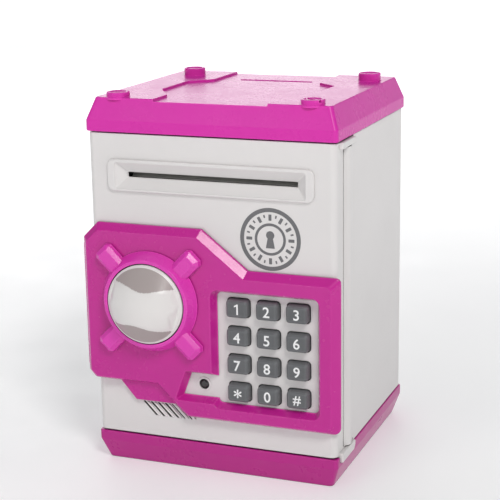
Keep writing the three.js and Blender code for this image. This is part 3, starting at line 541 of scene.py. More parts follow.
# A grime tone; darkened further it also stands for painted shade in gaps.
GREY_DUST_AND_SHADE = (120, 112, 108)
WHITE = moulded("white_plastic", linear(221, 218, 217), 0.36, 0.12, 0.010, GREY_DUST_AND_SHADE, 1.03, seam=0.5)
LID_PINK = moulded(
    "lid_pink_plastic", linear(214, 52, 168), 0.27, 0.0, 0.002, (120, 40, 92), 1.3,
    dust_and_shade=0.15, level=0.17, painted_edge_highlight=0.5,
)
PANEL_PINK = moulded(
    "panel_pink_plastic", linear(194, 34, 144), 0.25, 0.12, 0.004, (96, 20, 66), 1.4, dust_and_shade=0.05, painted_edge_highlight=0.6
)
BASE_PINK = moulded(
    "base_pink_plastic", linear(184, 28, 134), 0.28, 0.15, 0.006, (100, 24, 72), 1.3, painted_edge_highlight=0.5
)
HUB_PINK = moulded(
    "hub_pink_plastic", linear(220, 58, 176), 0.26, 0.2, 0.006, (100, 26, 74), 1.3, dust_and_shade=0.12, painted_edge_highlight=0.6
)
CAP_WHITE = moulded("cap_white_plastic", linear(226, 223, 221), 0.34, 0.1, 0.008, GREY_DUST_AND_SHADE, 1.03, dust_and_shade=0.12)
# A greyer copy of the cap's white for the scoop faces: painted shade, as they face down away from the light.
CAP_SCOOP_SHADE = moulded("cap_scoop_painted_shade", linear(170, 160, 158), 0.42, 0.05, 0.012, GREY_DUST_AND_SHADE, 1.03)
INNER = moulded("inner_plastic", linear(222, 219, 212), 0.48, 0.0, 0.016, (120, 112, 100), 1.03)
LOCK_GREY = moulded("lock_grey_plastic", linear(143, 146, 150), 0.45, 0.0, 0.014, (90, 88, 86))
FEEDER = moulded("feeder_plastic", linear(58, 59, 62), 0.5, 0.0, 0.016, (92, 90, 88), 1.4)
SPEAKER = moulded("speaker_black", linear(42, 42, 44), 0.55, 0.0, 0.016, (80, 78, 76), 1.4)
LENS = moulded("led_window_plastic", linear(40, 36, 38), 0.16, 0.8, 0.004, (30, 28, 28), 1.5)
KEY_GREY = rubber("key_rubber", linear(95, 97, 99))
MEMBRANE = rubber("membrane_rubber", linear(52, 52, 54))
TYRE = rubber("tyre_rubber", linear(34, 34, 36), 0.75)
LEAD = rubber("lead_jacket", linear(150, 34, 34), 0.5)
STEEL = metal("plated_steel", linear(186, 188, 190))
BRASS = metal("brass_pinion", linear(196, 164, 92))
BOARD = circuit("circuit_board")
CELL = jacket("battery_jacket", linear(44, 58, 78), linear(190, 134, 62))
LEGEND = print_ink("legend_ink", linear(238, 238, 238))
DIAL_INK = print_ink("dial_ink", linear(106, 106, 108))


# ---- places that several pieces share ----
HALF_WIDTH = 64.2  # of the cabinet and of the door
SIDE_CORNER = 3.4  # the round of their upright edges
DOOR_FRONT = -58.2
HINGE = (61.9, -41.0)
PIN_ROOM = 1.8  # the radius of the hinge pins' holes
CASE_SCREWS = [(-56, -24), (56, -24), (-56, 44), (56, 44)]
LINER_SCREWS = [(-57.6, 22.6), (57.6, 22.6), (-57.6, 164.6), (57.6, 164.6)]
TAB_SCREW = (33.8, 30)  # the battery cover's
KNOB = (-30.7, 89.4)
LED_PLACE = (-4.8, 47.4)
KEY_COLUMNS = (14.5, 30.0, 45.3)
KEY_TOP_ROW, KEY_PITCH = 88.9, 14.4
KEY_NAMES = ("1", "2", "3", "4", "5", "6", "7", "8", "9", "star", "0", "hash")
KEY_PLACES = [(KEY_COLUMNS[i % 3], KEY_TOP_ROW - KEY_PITCH * (i // 3)) for i in range(12)]
KEY_WIDTH, KEY_HEIGHT, KEY_CORNER = 12.1, 9.9, 2.0


# ---- lid ----
# The slotted bosses: x, y, top and the slot's direction in degrees.
BOSSES = [(-50.3, -50.5, 191.2, 20), (50.5, -50.8, 191.2, -35), (-46.5, 35.5, 192.8, 60), (52, 36.5, 192.8, 5)]


def sharp_box(half_x, half_y, radius):
    """A rectangle's section whose corner radius stays the same at every inset."""
    corners = rectangle(-half_x, -half_y, half_x, half_y)
    return lambda inset: soften(shrunk(corners, inset), radius, 6)


def build_lid():
    low, high = box_mm("lid")
    half_x, half_y, bottom = high.x, high.y, low.z
    floor_top, rim_top, band_top, floor_inset, wall = 187.5, 188.7, 177.8, 3.5, 2.2
    rim_inset = floor_inset * (rim_top - band_top) / (floor_top - band_top)
    skin = open_path(
        [(0.9, bottom), (0, bottom), (0, band_top), (rim_inset, rim_top), (rim_inset + 6, rim_top)],
        [0, 0.5, 2.5, 0.6, 0],
    )
    body = loft("Z", sharp_box(half_x, half_y, 2.2), skin[:-1])
    room = [(0, bottom - PAST), (0, band_top - 1), (floor_inset - 0.5, floor_top - wall)]
    body = cut(body, loft("Z", rounded_box(half_x - wall, half_y - wall, 3.4), room))

    # The lower field down the middle, which leaves the two raised side fields.
    inner, jog, past = 29.5, 40.5, half_y + PAST
    right_edge = [(inner, -past), (inner, -38.5), (jog, -20.5), (jog, 12), (inner, 22), (inner, past)]
    middle = right_edge + [(-x, y) for x, y in reversed(right_edge)]
    radii = [0] + [1.2] * 4 + [0, 0] + [1.2] * 4 + [0]
    lip = [(-inset, rim_top - rise) for inset, rise in quarter(0.4)]
    stations = [(-0.4, rim_top + PAST)] + lip + [(0, floor_top + 0.25), (0.25, floor_top)]
    body = cut(body, loft("Z", section(middle, radii), stations))

    radius, root, dish, slot_width, slot_depth = 5.75, 6.25, 0.5, 1.6, 1.3
    for x, y, top, degrees in BOSSES:
        path = [(0, rim_top - 1), (root, rim_top - 1), (root, rim_top), (radius, rim_top + 0.3), (radius, top),
                (radius - 1.3, top), (radius - 1.8, top - dish), (0, top - dish)]
        body = join(body, turned("Z", path, (x, y), [0, 0, 0, 0.3, 0.5, 0.3, 0.3, 0], 48))
        groove = hole("Z", rounded_box(radius + 2, slot_width / 2, 0.4, 2), top, -slot_depth, 0.25)
        body = cut(body, turned_about(moved(groove, x, y), "Z", degrees, (x, y, 0)))

    slot, half_length, half_width = (2.0, 31.8), 20.0, 1.7
    chute = slab("Z", rounded_box(half_length + 1.6, half_width + 1.6, 3.1), floor_top - 9, floor_top - 1)
    opening = hole("Z", rounded_box(half_length, half_width, half_width - 0.1), floor_top, -2 * PAST, 0.6)
    body = cut(join(body, moved(chute, *slot)), moved(opening, *slot))
    return finish(body, "lid_cap", "cabinet", LID_PINK, ["lid"])


# ---- base ----
def ear_room(bottom, top):
    """The room that the door's ears sweep as they turn round the hinge."""
    x, y = HINGE
    inner, outer, left = 9.6, 14.0, 57.2
    sweep = rod("Z", inner, bottom, top, HINGE)
    corner = [(left, y), (left, y - outer)] + arc(outer, math.radians(-75), 0.0, 8, HINGE) + [(x + outer, y)]
    return join(sweep, slab("Z", lambda inset: corner, bottom, top))


def build_base():
    high = box_mm("base_tray")[1]
    half_x, half_y = high.x, high.y
    top, band_bottom, inset, floor, wall = 15.7, 10.85, 3.7, 2.6, 2.2
    skin = open_path(
        [(inset + 2, 0), (inset, 0), (0, band_bottom), (0, top), (1.2, top)],
        [0, 0.9, 2.5, 0.5, 0],
    )
    body = loft("Z", sharp_box(half_x, half_y, 2.2), skin)
    room = [(inset - 0.3, floor), (0, band_bottom), (0, top + PAST)]
    body = cut(body, loft("Z", rounded_box(half_x - wall, half_y - wall, 3.7), room))

    # The battery well, and at its right the room for the cover's tab.
    well_x, well_front, well_back, ceiling, around = 29, 7.4, 52.6, 17.9, 1.8
    body = join(
        body,
        block(
            (-well_x - around, well_front - around, 1),
            (well_x + around, well_back + around, ceiling + around),
            0.5,
        ),
        block((28, 22.6, 1), (40.6, 37.4, 10.6), 0.5),
        *[rod("Z", 4.6, 1, top - 0.01, at, 0.3) for at in CASE_SCREWS],
    )
    body = cut(
        body,
        hole("Z", rounded(-well_x, well_front, well_x, well_back, 1.0, 3), 0, ceiling, 0.3),
        hole("Z", rounded(well_x - 1, 24.6, 38.6, 35.4, 0.8, 3), 0, floor, 0.25),
        rod("Z", 1.5, 0, 9.6, TAB_SCREW),
        ear_room(12.7, top + PAST),
    )
    for at in CASE_SCREWS:
        shaft = rod("Z", 1.7, -PAST, top + PAST, at, steps=32)
        recess = [(0, -PAST), (3.7, -PAST), (3.7, 0), (3.4, 0.35), (3.4, 4), (0, 4)]
        body = cut(body, shaft, turned("Z", recess, at, steps=40))
    return finish(body, "base_shell", "cabinet", BASE_PINK, ["base_tray"])


def build_battery_cover():
    low, high = box_mm("battery_cover")
    plate_right, plate_top, tab_top = 28.7, 2.4, 2.1
    plate = block((low.x, low.y, low.z), (plate_right, high.y, plate_top), 0.3)
    tab = block((plate_right - 1, 24.9, low.z), (high.x, 35.1, tab_top), 0.3)
    seat = [(0, -PAST), (3.1, -PAST), (3.1, low.z), (2.9, low.z + 0.2), (2.9, 1.6), (0, 1.6)]
    body = cut(
        join(plate, tab),
        rod("Z", 1.6, -PAST, PAST, TAB_SCREW, steps=32),
        turned("Z", seat, TAB_SCREW, steps=36),
    )
    marks = []
    for i in range(5):
        grip = hole("Z", rounded_box(9, 0.55, 0.5, 3), low.z, 0.6, 0.2)
        marks.append(moved(grip, 0, 38.55 + i * 2.4))
    arrow = [(0, 12.5), (4.5, 18), (1.6, 18), (1.6, 24), (-1.6, 24), (-1.6, 18), (-4.5, 18)]
    marks.append(hole("Z", section(arrow, 0.3, 2), low.z, 0.5, 0.15))
    body = cut(body, *marks)
    return finish(body, "battery_door", "cabinet", BASE_PINK, ["battery_cover"])


# ---- cabinet ----
def build_cabinet():
    half_x, front, back, bottom, top, wall = HALF_WIDTH, -45.5, 58.2, 16.0, 172.0, 2.5
    plan = rounded(-half_x, front, half_x, back, [0.5, SIDE_CORNER, SIDE_CORNER, 0.5], 8)
    body = slab("Z", plan, bottom, top, 0.25, 0.25)
    inside = rounded(-half_x + wall, front - 2 * PAST, half_x - wall, back - wall, [0.5, 2, 2, 0.5], 5)
    body = cut(body, loft("Z", inside, [(0, bottom - PAST), (0, top + PAST)]))
    rail_back, header, sill = -36.0, 168.2, 19.8
    left, rail_front = -half_x + 1, front + 0.01
    body = join(
        body,
        block((left, rail_front, header), (-left, rail_back, top - 0.01), 0.3),
        block((left, rail_front, bottom + 0.01), (-left, rail_back, sill), 0.3),
    )

    # The hinge barrel, which runs out tangentially into the side wall.
    barrel_bottom, barrel_top, barrel_radius, run_out = 18.1, 168.1, 4.2, 9.4
    body = cut(body, ear_room(bottom - PAST, barrel_bottom), ear_room(barrel_top, top + PAST))
    reach = Vector((half_x - HINGE[0], run_out))
    tangent = math.atan2(reach.y, reach.x) - math.acos(barrel_radius / reach.length)
    strip = arc(barrel_radius, math.radians(-200), tangent, 28, HINGE)
    strip += [(half_x, HINGE[1] + run_out), (half_x - 1.8, HINGE[1] + run_out)]
    centre = Vector((HINGE[0] + 0.4, HINGE[1] + 2))

    def strip_at(inset):
        return [tuple(centre + (Vector(p) - centre) * (1 - inset / 6)) for p in strip]

    body = join(body, slab("Z", strip_at, barrel_bottom, barrel_top, 0.3, 0.3))

    # The strike plate behind which the latch bolt is thrown, with a rib at each end.
    body = join(
        body,
        block((left, rail_front, 86), (-57.2, -43.9, 112), 0.4),
        block((left, front + 0.5, 86.1), (-57.5, -38, 88), 0.4),
        block((left, front + 0.5, 110), (-57.5, -38, 111.9), 0.4),
    )
    post_radius, post_top, hole_top = 4.5, 30, 26
    for x, y in CASE_SCREWS:
        wall_x = math.copysign(half_x - wall + 0.3, x)
        web = block((min(x, wall_x), y - 1.5, bottom + 0.01), (max(x, wall_x), y + 1.5, post_top - 0.1), 0.3)
        body = join(body, rod("Z", post_radius, bottom + 0.01, post_top, (x, y), 0.4, 40), web)
    for at in CASE_SCREWS:
        body = cut(body, rod("Z", 1.7, bottom - PAST, hole_top, at, steps=24))
    body = cut(
        body,
        rod("Z", PIN_ROOM, barrel_bottom - PAST, barrel_bottom + 16, HINGE, steps=32),
        rod("Z", PIN_ROOM, barrel_top - 16, barrel_top + PAST, HINGE, steps=32),
    )
    return finish(body, "cabinet_walls", "cabinet", WHITE, ["cabinet_shell"])


# ---- door ----
def build_door():
    half_x, front, back, bottom, top, skin = HALF_WIDTH, DOOR_FRONT, -46.0, 16.4, 171.7, 2.2
    corners = [(-half_x, back), (-half_x, front), (half_x, front), (half_x, back)]
    body = slab("Z", section(corners, [0.4, SIDE_CORNER, SIDE_CORNER, 0.4], 9), bottom, top, 0.5, 0.5)
    inside = rounded(-half_x + skin, front + skin, half_x - skin, back + PAST, [1.6, 1, 1, 1.6], 4)
    body = cut(body, slab("Z", inside, bottom + skin, top - skin))
    body = cut(body, block((half_x - 5, back - 1.9, 18.6), (half_x + PAST, back + PAST, 167.7), 0.3))

    # The note slot's raised frame and the block behind it, the two hinge ears and the screw posts.
    frame_front, slot_face, ear_bottom = -59.7, -55.0, 13
    lower_ear = [(-54, ear_bottom), (-35.5, ear_bottom), (-33.3, 15.2), (-33.3, 17.7), (-54, 17.7)]
    upper_ear = [(-54, 168.5), (-33.3, 168.5), (-33.3, top), (-54, top)]
    body = join(
        body,
        slab("Y", rounded(-53.6, 143.2, 53.6, 159.2, 3.5, 6), front + 1, frame_front, 0, 0.75),
        block((-47.2, front + 1, 143.6), (47.2, slot_face + 0.4, 158.3), 0.3),
        slab("X", section(lower_ear, 0.5, 3), 57.5, 66.3, 0.4, 0.6),
        slab("X", section(upper_ear, 0.5, 3), 57.5, 66.3, 0.4, 0.6),
        *[rod("Y", 3.4, front + 1, -49.1, at, 0.3, 40) for at in LINER_SCREWS],
    )
    funnel = [(-inset, frame_front + rise) for inset, rise in quarter(0.5)]
    funnel = [(-0.5, frame_front - PAST)] + funnel + [(5.1, slot_face)]
    body = cut(body, loft("Y", rounded(-49.3, 144.6, 49.3, 157.3, 1.0, 4), funnel))
    body = cut(body, hole("Y", rounded(-44.2, 149.7, 44.2, 152.2, 0.5, 3), slot_face, 12, 0.35))

    key_outline = rounded_box(KEY_WIDTH / 2, KEY_HEIGHT / 2, KEY_CORNER, 5)
    tools = [hole("Y", shifted(key_outline, x, z), front, 2 * PAST, 0.3) for x, z in KEY_PLACES]
    ribs = []
    low, high = 27.4, 34.5
    for i in range(6):
        x = -39.1 + i * 3.95
        width = 1.3 if i < 4 else 0.7
        slit = [(x + 6.9, low), (x + 6.9 + width, low), (x + width, high), (x, high)]
        tools.append(hole("Y", section(slit, 0.16, 3), front, 2 * PAST, 0.15))
        rib = [(x + 8.5, low), (x + 10.3, low), (x + 3.4, high), (x + 1.6, high)]
        ribs.append(slab("Y", section(rib, 0.5, 3), front + 1, front - 0.7, 0, 0.6))
    body = join(body, *ribs)
    tools.append(hole("Y", lambda inset: circle(2.7 - inset, 40, LED_PLACE), front, 2 * PAST, 0.2))
    tools.append(rod("Y", 4.6, front - PAST, front + 2 * PAST, KNOB, steps=40))
    tools += [rod("Y", 1.5, front + 3, back, at, steps=24) for at in LINER_SCREWS]
    body = cut(body, *tools)
    body = cut(body, rod("Z", PIN_ROOM, ear_bottom - PAST, top + PAST, HINGE, steps=32))
    return finish(body, "door_front", "door", WHITE, ["door_shell"])


def build_panel():
    front, back, bevel = box_mm("front_panel")[0].y, DOOR_FRONT - 0.3, 3.4
    # The outline at the foot of the bevel and the one at its face, point for point.
    foot = [(66.8, 29.6), (66.8, 108), (20, 108), (-4, 127), (-60, 127), (-68, 119), (-68, 49), (-64.5, 45),
            (-30, 45), (-19.4, 34.4), (-13.7, 29.6)]
    face = [(62.9, 31.6), (62.9, 104.3), (18.7, 104.3), (-5.4, 123.4), (-58.8, 123.4), (-65.3, 117.2),
            (-65.3, 49.8), (-62.1, 46.8), (-28.0, 47.0), (-17.2, 36.3), (-11.8, 31.6)]
    radii = [3.6, 2.4, 0.8, 0.9, 1.5, 1.5, 1.5, 1.5, 1.0, 1.2, 1.2]

    def outline_at(inset):
        share = inset / bevel
        mixed = [(a + (c - a) * share, b + (d - b) * share) for (a, b), (c, d) in zip(foot, face)]
        return soften(mixed, radii, 5)

    profile = open_path(
        [(0.6, back), (0, back), (0, front + bevel), (bevel, front), (bevel + 1.6, front)],
        [0, 0.25, 0.9, 0.9, 0],
    )
    body = loft("Y", outline_at, profile[1:])
    step = section([(-51.4, 46.5), (-41.9, 35.5), (-16, 35.5), (-16, 46.5)], [0.6, 1.0, 0.6, 0.6], 4)
    body = join(body, slab("Y", step, back, -60.4, 0.1, 0.7))
    pull = section([(-68, 52), (-64.5, 52), (-64.5, 116), (-68, 116)], 0.5, 3)
    body = join(body, slab("Y", pull, -52.2, back - 1.5, 0.5, 0))
    keypad_room = rounded(1.3, 37.1, 57.2, 98, 4.2, 7)
    led_room = section([(-18.6, 39.2), (12, 39.2), (12, 54.8), (-12.8, 54.8)], [1, 1, 1, 1.6], 4)
    lip, flare = 0.55, 2.0
    stations = [(-lip, front - PAST)] + [(-inset, front + rise) for inset, rise in quarter(lip)]
    stations += [(flare, back), (flare, back + PAST)]
    for outline in (keypad_room, led_room):
        body = cut(body, loft("Y", outline, stations))
    body = cut(body, rod("Y", 4.6, 0, -90, KNOB, steps=40))
    return finish(body, "pink_panel", "door", PANEL_PINK, ["front_panel"])


def build_inner_cover():
    rim_front, rim_back, back = -48.7, -46.3, -33.4
    body = slab("Y", rounded(-61.6, 19, 61.6, 168.1, 2, 5), rim_front, rim_back, 0.2, 0.4)
    body = join(body, slab("Y", rounded(-55, 24, 55, 167.2, 3.5, 6), -47.5, back, 0, 1.6))
    room = rounded(-53.2, 25.8, 53.2, 165.4, 2, 4)
    body = cut(body, loft("Y", room, [(0, rim_front - PAST), (0, back - 1.8)]))
    # The notes' exit, the latch's room and the shallow field on the back.
    tools = [
        hole("Y", rounded(-46, 148, 46, 154.5, 1.2, 4), back, -4, 0.6),
        block((-57.5, -44, 92.6), (-52.0, -39, 104.6)),
        loft("Y", rounded(-47, 34, 47, 138, 4, 5), [(0, back + PAST), (0, back), (0.5, back - 0.5)]),
    ]
    seat = [(0, 0), (3.3, 0), (3.3, rim_back), (3.0, rim_back - 0.3), (3.0, -47.9), (0, -47.9)]
    for at in LINER_SCREWS:
        tools.append(rod("Y", 1.7, -70, 0, at, steps=24))
        tools.append(turned("Y", seat, at, steps=40))
    body = cut(body, *tools)
    bars = []
    for z in (52, 69, 86, 103, 120):
        bars.append(slab("Y", rounded(-42, z - 0.9, 42, z + 0.9, 0.8, 4), back - 0.8, back - 0.05, 0, 0.3))
    body = join(body, *bars)
    return finish(body, "door_liner", "door", INNER, ["door_inner_cover"])


# ---- keys ----
KEY_FRONT = -62.2
LEGENDS = {"star": "*", "hash": "#"}
LEGEND_HEIGHTS = {"star": 4.6, "hash": 4.9}


def legend_mesh(character, height):
    """A flat character in the XZ plane, facing -Y and centred on the origin."""
    letters = bpy.data.curves.new("legend", "FONT")
    letters.body = character
    letters.size = 1.0
    letters.offset = 0.012
    letters.resolution_u = 5
    holder = new_object("legend", letters)
    data = evaluated(holder)
    bpy.data.objects.remove(holder)
    xs = [v.co.x for v in data.vertices]
    ys = [v.co.y for v in data.vertices]
    middle = Vector(((min(xs) + max(xs)) / 2, (min(ys) + max(ys)) / 2, 0))
    size = height * MM / (max(ys) - min(ys))
    data.transform(Matrix.Scale(size, 4) @ Matrix.Translation(-middle))
    data.transform(Matrix.Rotation(math.pi / 2, 4, "X"))
    return data


def figure_one(height):
    """A plain one with a short flag, facing -Y and centred on the origin."""
    outline = [(0.03, -0.5), (0.18, -0.5), (0.18, 0.5), (0.07, 0.5), (-0.2, 0.34), (-0.2, 0.2), (0.03, 0.31)]
    mesh = bmesh.new()
    mesh.faces.new([mesh.verts.new((u * height * MM, 0, v * height * MM)) for u, v in outline])
    return new_mesh("legend", mesh)


def thickened(data, depth):
    """A flat sheet facing -Y turned into a thin closed solid."""
    mesh = bmesh.new()
    mesh.from_mesh(data)
    bmesh.ops.remove_doubles(mesh, verts=mesh.verts, dist=0.002 * MM)
    raised = bmesh.ops.extrude_face_region(mesh, geom=list(mesh.faces))["geom"]
    verts = [item for item in raised if isinstance(item, bmesh.types.BMVert)]
    bmesh.ops.translate(mesh, verts=verts, vec=(0, -depth * MM, 0))
    return to_object(mesh)


def build_keys():
    back = DOOR_FRONT + 2.2
    bevel, flat, dip = 1.15, 3.5, 0.06
    key_outline = rounded_box(KEY_WIDTH / 2 - 0.4, KEY_HEIGHT / 2 - 0.4, KEY_CORNER - 0.3, 6)
    foot_outline = rounded_box(KEY_WIDTH / 2 + 0.6, KEY_HEIGHT / 2 + 0.6, KEY_CORNER, 5)
    flank = open_path(
        [(0.0, back + 0.4), (0.1, DOOR_FRONT), (0.25, KEY_FRONT + 0.85), (bevel, KEY_FRONT), (flat, KEY_FRONT)],
        [0, 0, 0.3, 0.2, 0],
    )
    crown = [(inset, KEY_FRONT + dip * (inset - bevel) / (flat - bevel)) for inset in (2.2, flat)]
    for name, (x, z) in zip(KEY_NAMES, KEY_PLACES):
        body = loft("Y", shifted(key_outline, x, z), flank[:-1] + crown)
        body = join(body, slab("Y", shifted(foot_outline, x, z), back + 1.3, back + 0.3, 0.1, 0.3))
        finish(body, "keycap_" + name, "key_" + name, KEY_GREY, ["key_" + name])
        height = LEGEND_HEIGHTS.get(name, 5.3)
        sheet = figure_one(height) if name == "1" else legend_mesh(LEGENDS.get(name, name), height)
        letter = moved(thickened(sheet, 0.12), x, KEY_FRONT + 0.1, z)
        finish(letter, "legend_" + name, "key_" + name, LEGEND)


# ---- knob ----
HUB_SEAT, HUB_RIM, HUB_FLOOR = -63.6, -69.6, -66.0
CAP_RADIUS = 20.1


def build_hub():
    bore, outer, rim_radius, recess = 4.5, 25.8, 21.9, CAP_RADIUS + 0.5
    path = [(bore, HUB_SEAT), (outer, HUB_SEAT), (rim_radius + 0.6, HUB_RIM + 0.2), (rim_radius + 0.2, HUB_RIM),
            (recess, HUB_RIM), (recess, HUB_FLOOR), (bore, HUB_FLOOR)]
    body = turned("Y", path, KNOB, [0, 0.3, 0.6, 0.3, 0.35, 0.3, 0], 96)
    root, half, tip, chamfer, front = 21, 5.25, 36.0, 1.9, -67.6
    blade = [(root, -half), (tip - chamfer, -half), (tip, -half + chamfer), (tip, half - chamfer),
             (tip - chamfer, half), (root, half)]
    outline = shifted(section(blade, [0.3, 0.9, 0.9, 0.9, 0.9, 0.3], 4), *KNOB)
    profile = open_path([(0, HUB_SEAT), (0.4, front + 1.7), (2.5, front), (4, front)], [0, 0.5, 0.5, 0])
    for i in range(4):
        spoke = loft("Y", outline, profile[:-1])
        body = join(body, turned_about(spoke, "Y", 45 + i * 90, (KNOB[0], 0, KNOB[1])))
    return finish(body, "knob_wheel", "knob", HUB_PINK, ["knob_hub"])


def soft_max(a, b, radius):
    """The larger of two values, with the crossing rounded over about that radius."""
    gap = max(radius - abs(a - b), 0.0) / radius
    return max(a, b) + gap * gap * radius / 4


def build_cap():
    """A dome with an S-edged scoop above and below its grip bar, on a fine polar grid."""
    dome_y, rim_y, ledge_y, foot_y = box_mm("knob_cap")[0].y, HUB_RIM - 0.5, HUB_RIM - 1.3, HUB_FLOOR - 0.3
    dome_radius = CAP_RADIUS - 0.5
    scoop_radius = dome_radius - 0.8
    rise = rim_y - dome_y
    sphere = (dome_radius**2 + rise**2) / (2 * rise)

    def dome(r):
        return dome_y + sphere - math.sqrt(sphere**2 - r**2)

    def edge(x):
        """How far below the middle the grip's edge runs: a slow wave, lower to the right."""
        return 9.9 + 0.085 * x - 1.35 * math.cos((x + 2.6) * math.pi / 15.5) * math.exp(-((x + 2.6) / 15) ** 2)

    def height(x, z):
        y = dome(math.hypot(x, z))
        for way in (1, -1):
            past_edge = -way * z - edge(way * x)
            lip = dome(math.hypot(x, edge(way * x))) + 0.15
            reach = max(math.sqrt(max(scoop_radius**2 - x**2, 0.0)) - edge(way * x), 0.5)
            slope = max((ledge_y - lip) / reach, 0.45)
            wall = lip + past_edge * slope
            y = soft_max(y, min(wall, ledge_y), 0.35)
        return y

    rings, spokes = 60, 192
    mesh = bmesh.new()

    def ring(radius, flat_y=None):
        """A ring of points on the dome, or all at flat_y where that is given."""
        made = []
        for x, z in circle(radius, spokes):
            y = height(x, z) if flat_y is None else flat_y
            made.append(mesh.verts.new(placed("Y", KNOB[0] + x, KNOB[1] + z, y)))
        return made

    middle = mesh.verts.new(placed("Y", *KNOB, height(0, 0)))
    grid = [ring(dome_radius * i / rings) for i in range(1, rings + 1)]
    grid.append(ring(CAP_RADIUS - 0.15, rim_y + 0.15))
    for radius, y in ((CAP_RADIUS, rim_y + 0.5), (CAP_RADIUS, foot_y), (4.5, foot_y)):
        grid.append(ring(radius, y))
    for spoke in range(spokes):
        after = (spoke + 1) % spokes
        mesh.faces.new((middle, grid[0][spoke], grid[0][after]))
        for inner, outer in zip(grid, grid[1:]):
            mesh.faces.new((inner[spoke], outer[spoke], outer[after], inner[after]))
    mesh.faces.new(grid[-1])
    cap = finish(to_object(mesh), "knob_grip", "knob", CAP_WHITE, ["knob_cap"])
    # The scoop faces below and above the grip bar get the greyer copy: painted shade.
    cap.data.materials.append(CAP_SCOOP_SHADE)
    for face in cap.data.polygons:
        x, z = face.center.x / MM - KNOB[0], face.center.z / MM - KNOB[1]
        if math.hypot(x, z) > scoop_radius or face.center.y / MM > rim_y:
            continue
        if any(-way * z > edge(way * x) + 0.25 for way in (1, -1)):
            face.material_index = 1
    return cap


# ---- small things on the door's front ----
def build_led():
    front = DOOR_FRONT - 0.2
    path = [(0, front - 0.1), (1.4, front), (2.3, front + 0.6), (2.5, front + 1.2), (2.5, -55.7), (2.8, -55.7),
            (2.8, -54.2), (0, -54.2)]
    lens = turned("Y", path, LED_PLACE, [0, 0.6, 0.4, 0, 0, 0, 0, 0], 48)
    finish(lens, "led_lens", "door", LENS, ["status_led"])
    inner, outer, back, top = 2.72, 3.7, DOOR_FRONT + 0.5, DOOR_FRONT - 0.4
    path = [(inner, back), (outer, back), (outer, top), (inner, top)]
    collar = turned("Y", path, LED_PLACE, [0, 0, 0.35, 0.1], 48)
    finish(collar, "led_collar", "door", WHITE)


def build_dial_print():
    """A plain combination-dial mark with no lettering."""
    centre = (31.2, 124.2)
    back, front = DOOR_FRONT + 0.02, DOOR_FRONT - 0.06
    shapes = []
    for inner, outer in ((13.4, 15.4), (6.6, 7.9)):
        path = [(inner, back), (outer, back), (outer, front), (inner, front)]
        shapes.append(turned("Y", path, centre, 0.0, 96))
    for i in range(24):
        inner, half = (9.2, 0.75) if i % 2 == 0 else (10.7, 0.4)
        tick = slab("Y", rounded(inner, -half, 12.2, half, 0.2, 2), back, front)
        tick.data.transform(Matrix.Rotation(math.radians(i * 15), 4, "Y"))
        shapes.append(moved(tick, centre[0], 0, centre[1]))
    keyhole = [(2.3, -4.4)] + arc(2.1, math.radians(-50), math.radians(230), 16, (0, 2.0)) + [(-2.3, -4.4)]
    shapes.append(slab("Y", shifted(lambda inset: keyhole, *centre), back, front))
    return finish(merged(shapes), "dial_print", "door", DIAL_INK)


# ---- screws ----
def cross_screw(name, node, body, axis, at, under_head, shank, head):
    """A screw with a domed head and a cross recess, between its CAD node's two ends."""
    low, high = box_mm(node)
    index = "XYZ".index(axis)
    # The case's screws point up from the floor and the liner's point forwards.
    head_top, tip = (low[index], high[index]) if axis == "Z" else (high[index], low[index])
    way = math.copysign(1, head_top - tip)
    head_height = abs(head_top - under_head)
    path = [(0, tip), (shank, tip + way * 0.8), (shank, under_head), (head, under_head),
            (head, head_top - way * 0.6), (0, head_top)]
    made = turned(axis, path, at, [0, 0, 0, 0.06 * head_height, 0.1 * head_height, 0], 48)
    arm, half_width, recess = head * 0.62, 0.28, 0.6 * head_height
    arms = []
    for half_u, half_v in ((half_width, arm), (arm, half_width)):
        outline = shifted(rounded_box(half_u, half_v, 0.12, 2), *at)
        arms.append(hole(axis, outline, head_top, -way * recess, 0.06))
    return finish(cut(made, *arms), name, body, STEEL, [node])


def build_screws():
    for i, at in enumerate(CASE_SCREWS, 1):
        cross_screw(f"case_screw_{i}", f"base_screw_{i}", "cabinet", "Z", at, 3.7, 1.35, 3.0)
    cross_screw("battery_door_screw", "battery_cover_screw", "cabinet", "Z", TAB_SCREW, 1.3, 1.2, 2.4)
    for i, at in enumerate(LINER_SCREWS, 1):
        cross_screw(f"liner_screw_{i}", f"cover_screw_{i}", "door", "Y", at, -47.7, 1.2, 2.6)


# ---- CAD nodes that keep their shape, by material and slot ----
KEPT = [
    (CELL, "battery_jacket", "battery_1 battery_2 battery_3"),
    (STEEL, "plated_steel", "contact_right_link contact_right_end contact_left_link contact_left_end"),
    (STEEL, "plated_steel", "hinge_pin_lower hinge_pin_upper lock_solenoid lock_plunger"),
    (STEEL, "plated_steel", "drive_roller_shaft feeder_motor"),
    (MEMBRANE, "membrane_rubber", "keypad_membrane"),
    (BOARD, "circuit_board", "keypad_board"),
    (SPEAKER, "speaker_black", "speaker"),
    (INNER, "inner_plastic", "knob_spindle latch_bolt roller_gear reduction_gear idler_roller"),
    (LOCK_GREY, "lock_grey", "lock_case"),
    (FEEDER, "feeder_plastic", "feeder_frame"),
    (TYRE, "tyre_rubber", "drive_tyre_left drive_tyre_right"),
    (BRASS, "brass_pinion", "motor_pinion"),
    (LEAD, "lead_jacket", "motor_lead solenoid_lead speaker_lead"),
]
CRISP = {"motor_pinion", "roller_gear", "reduction_gear", "latch_bolt", "knob_spindle"}


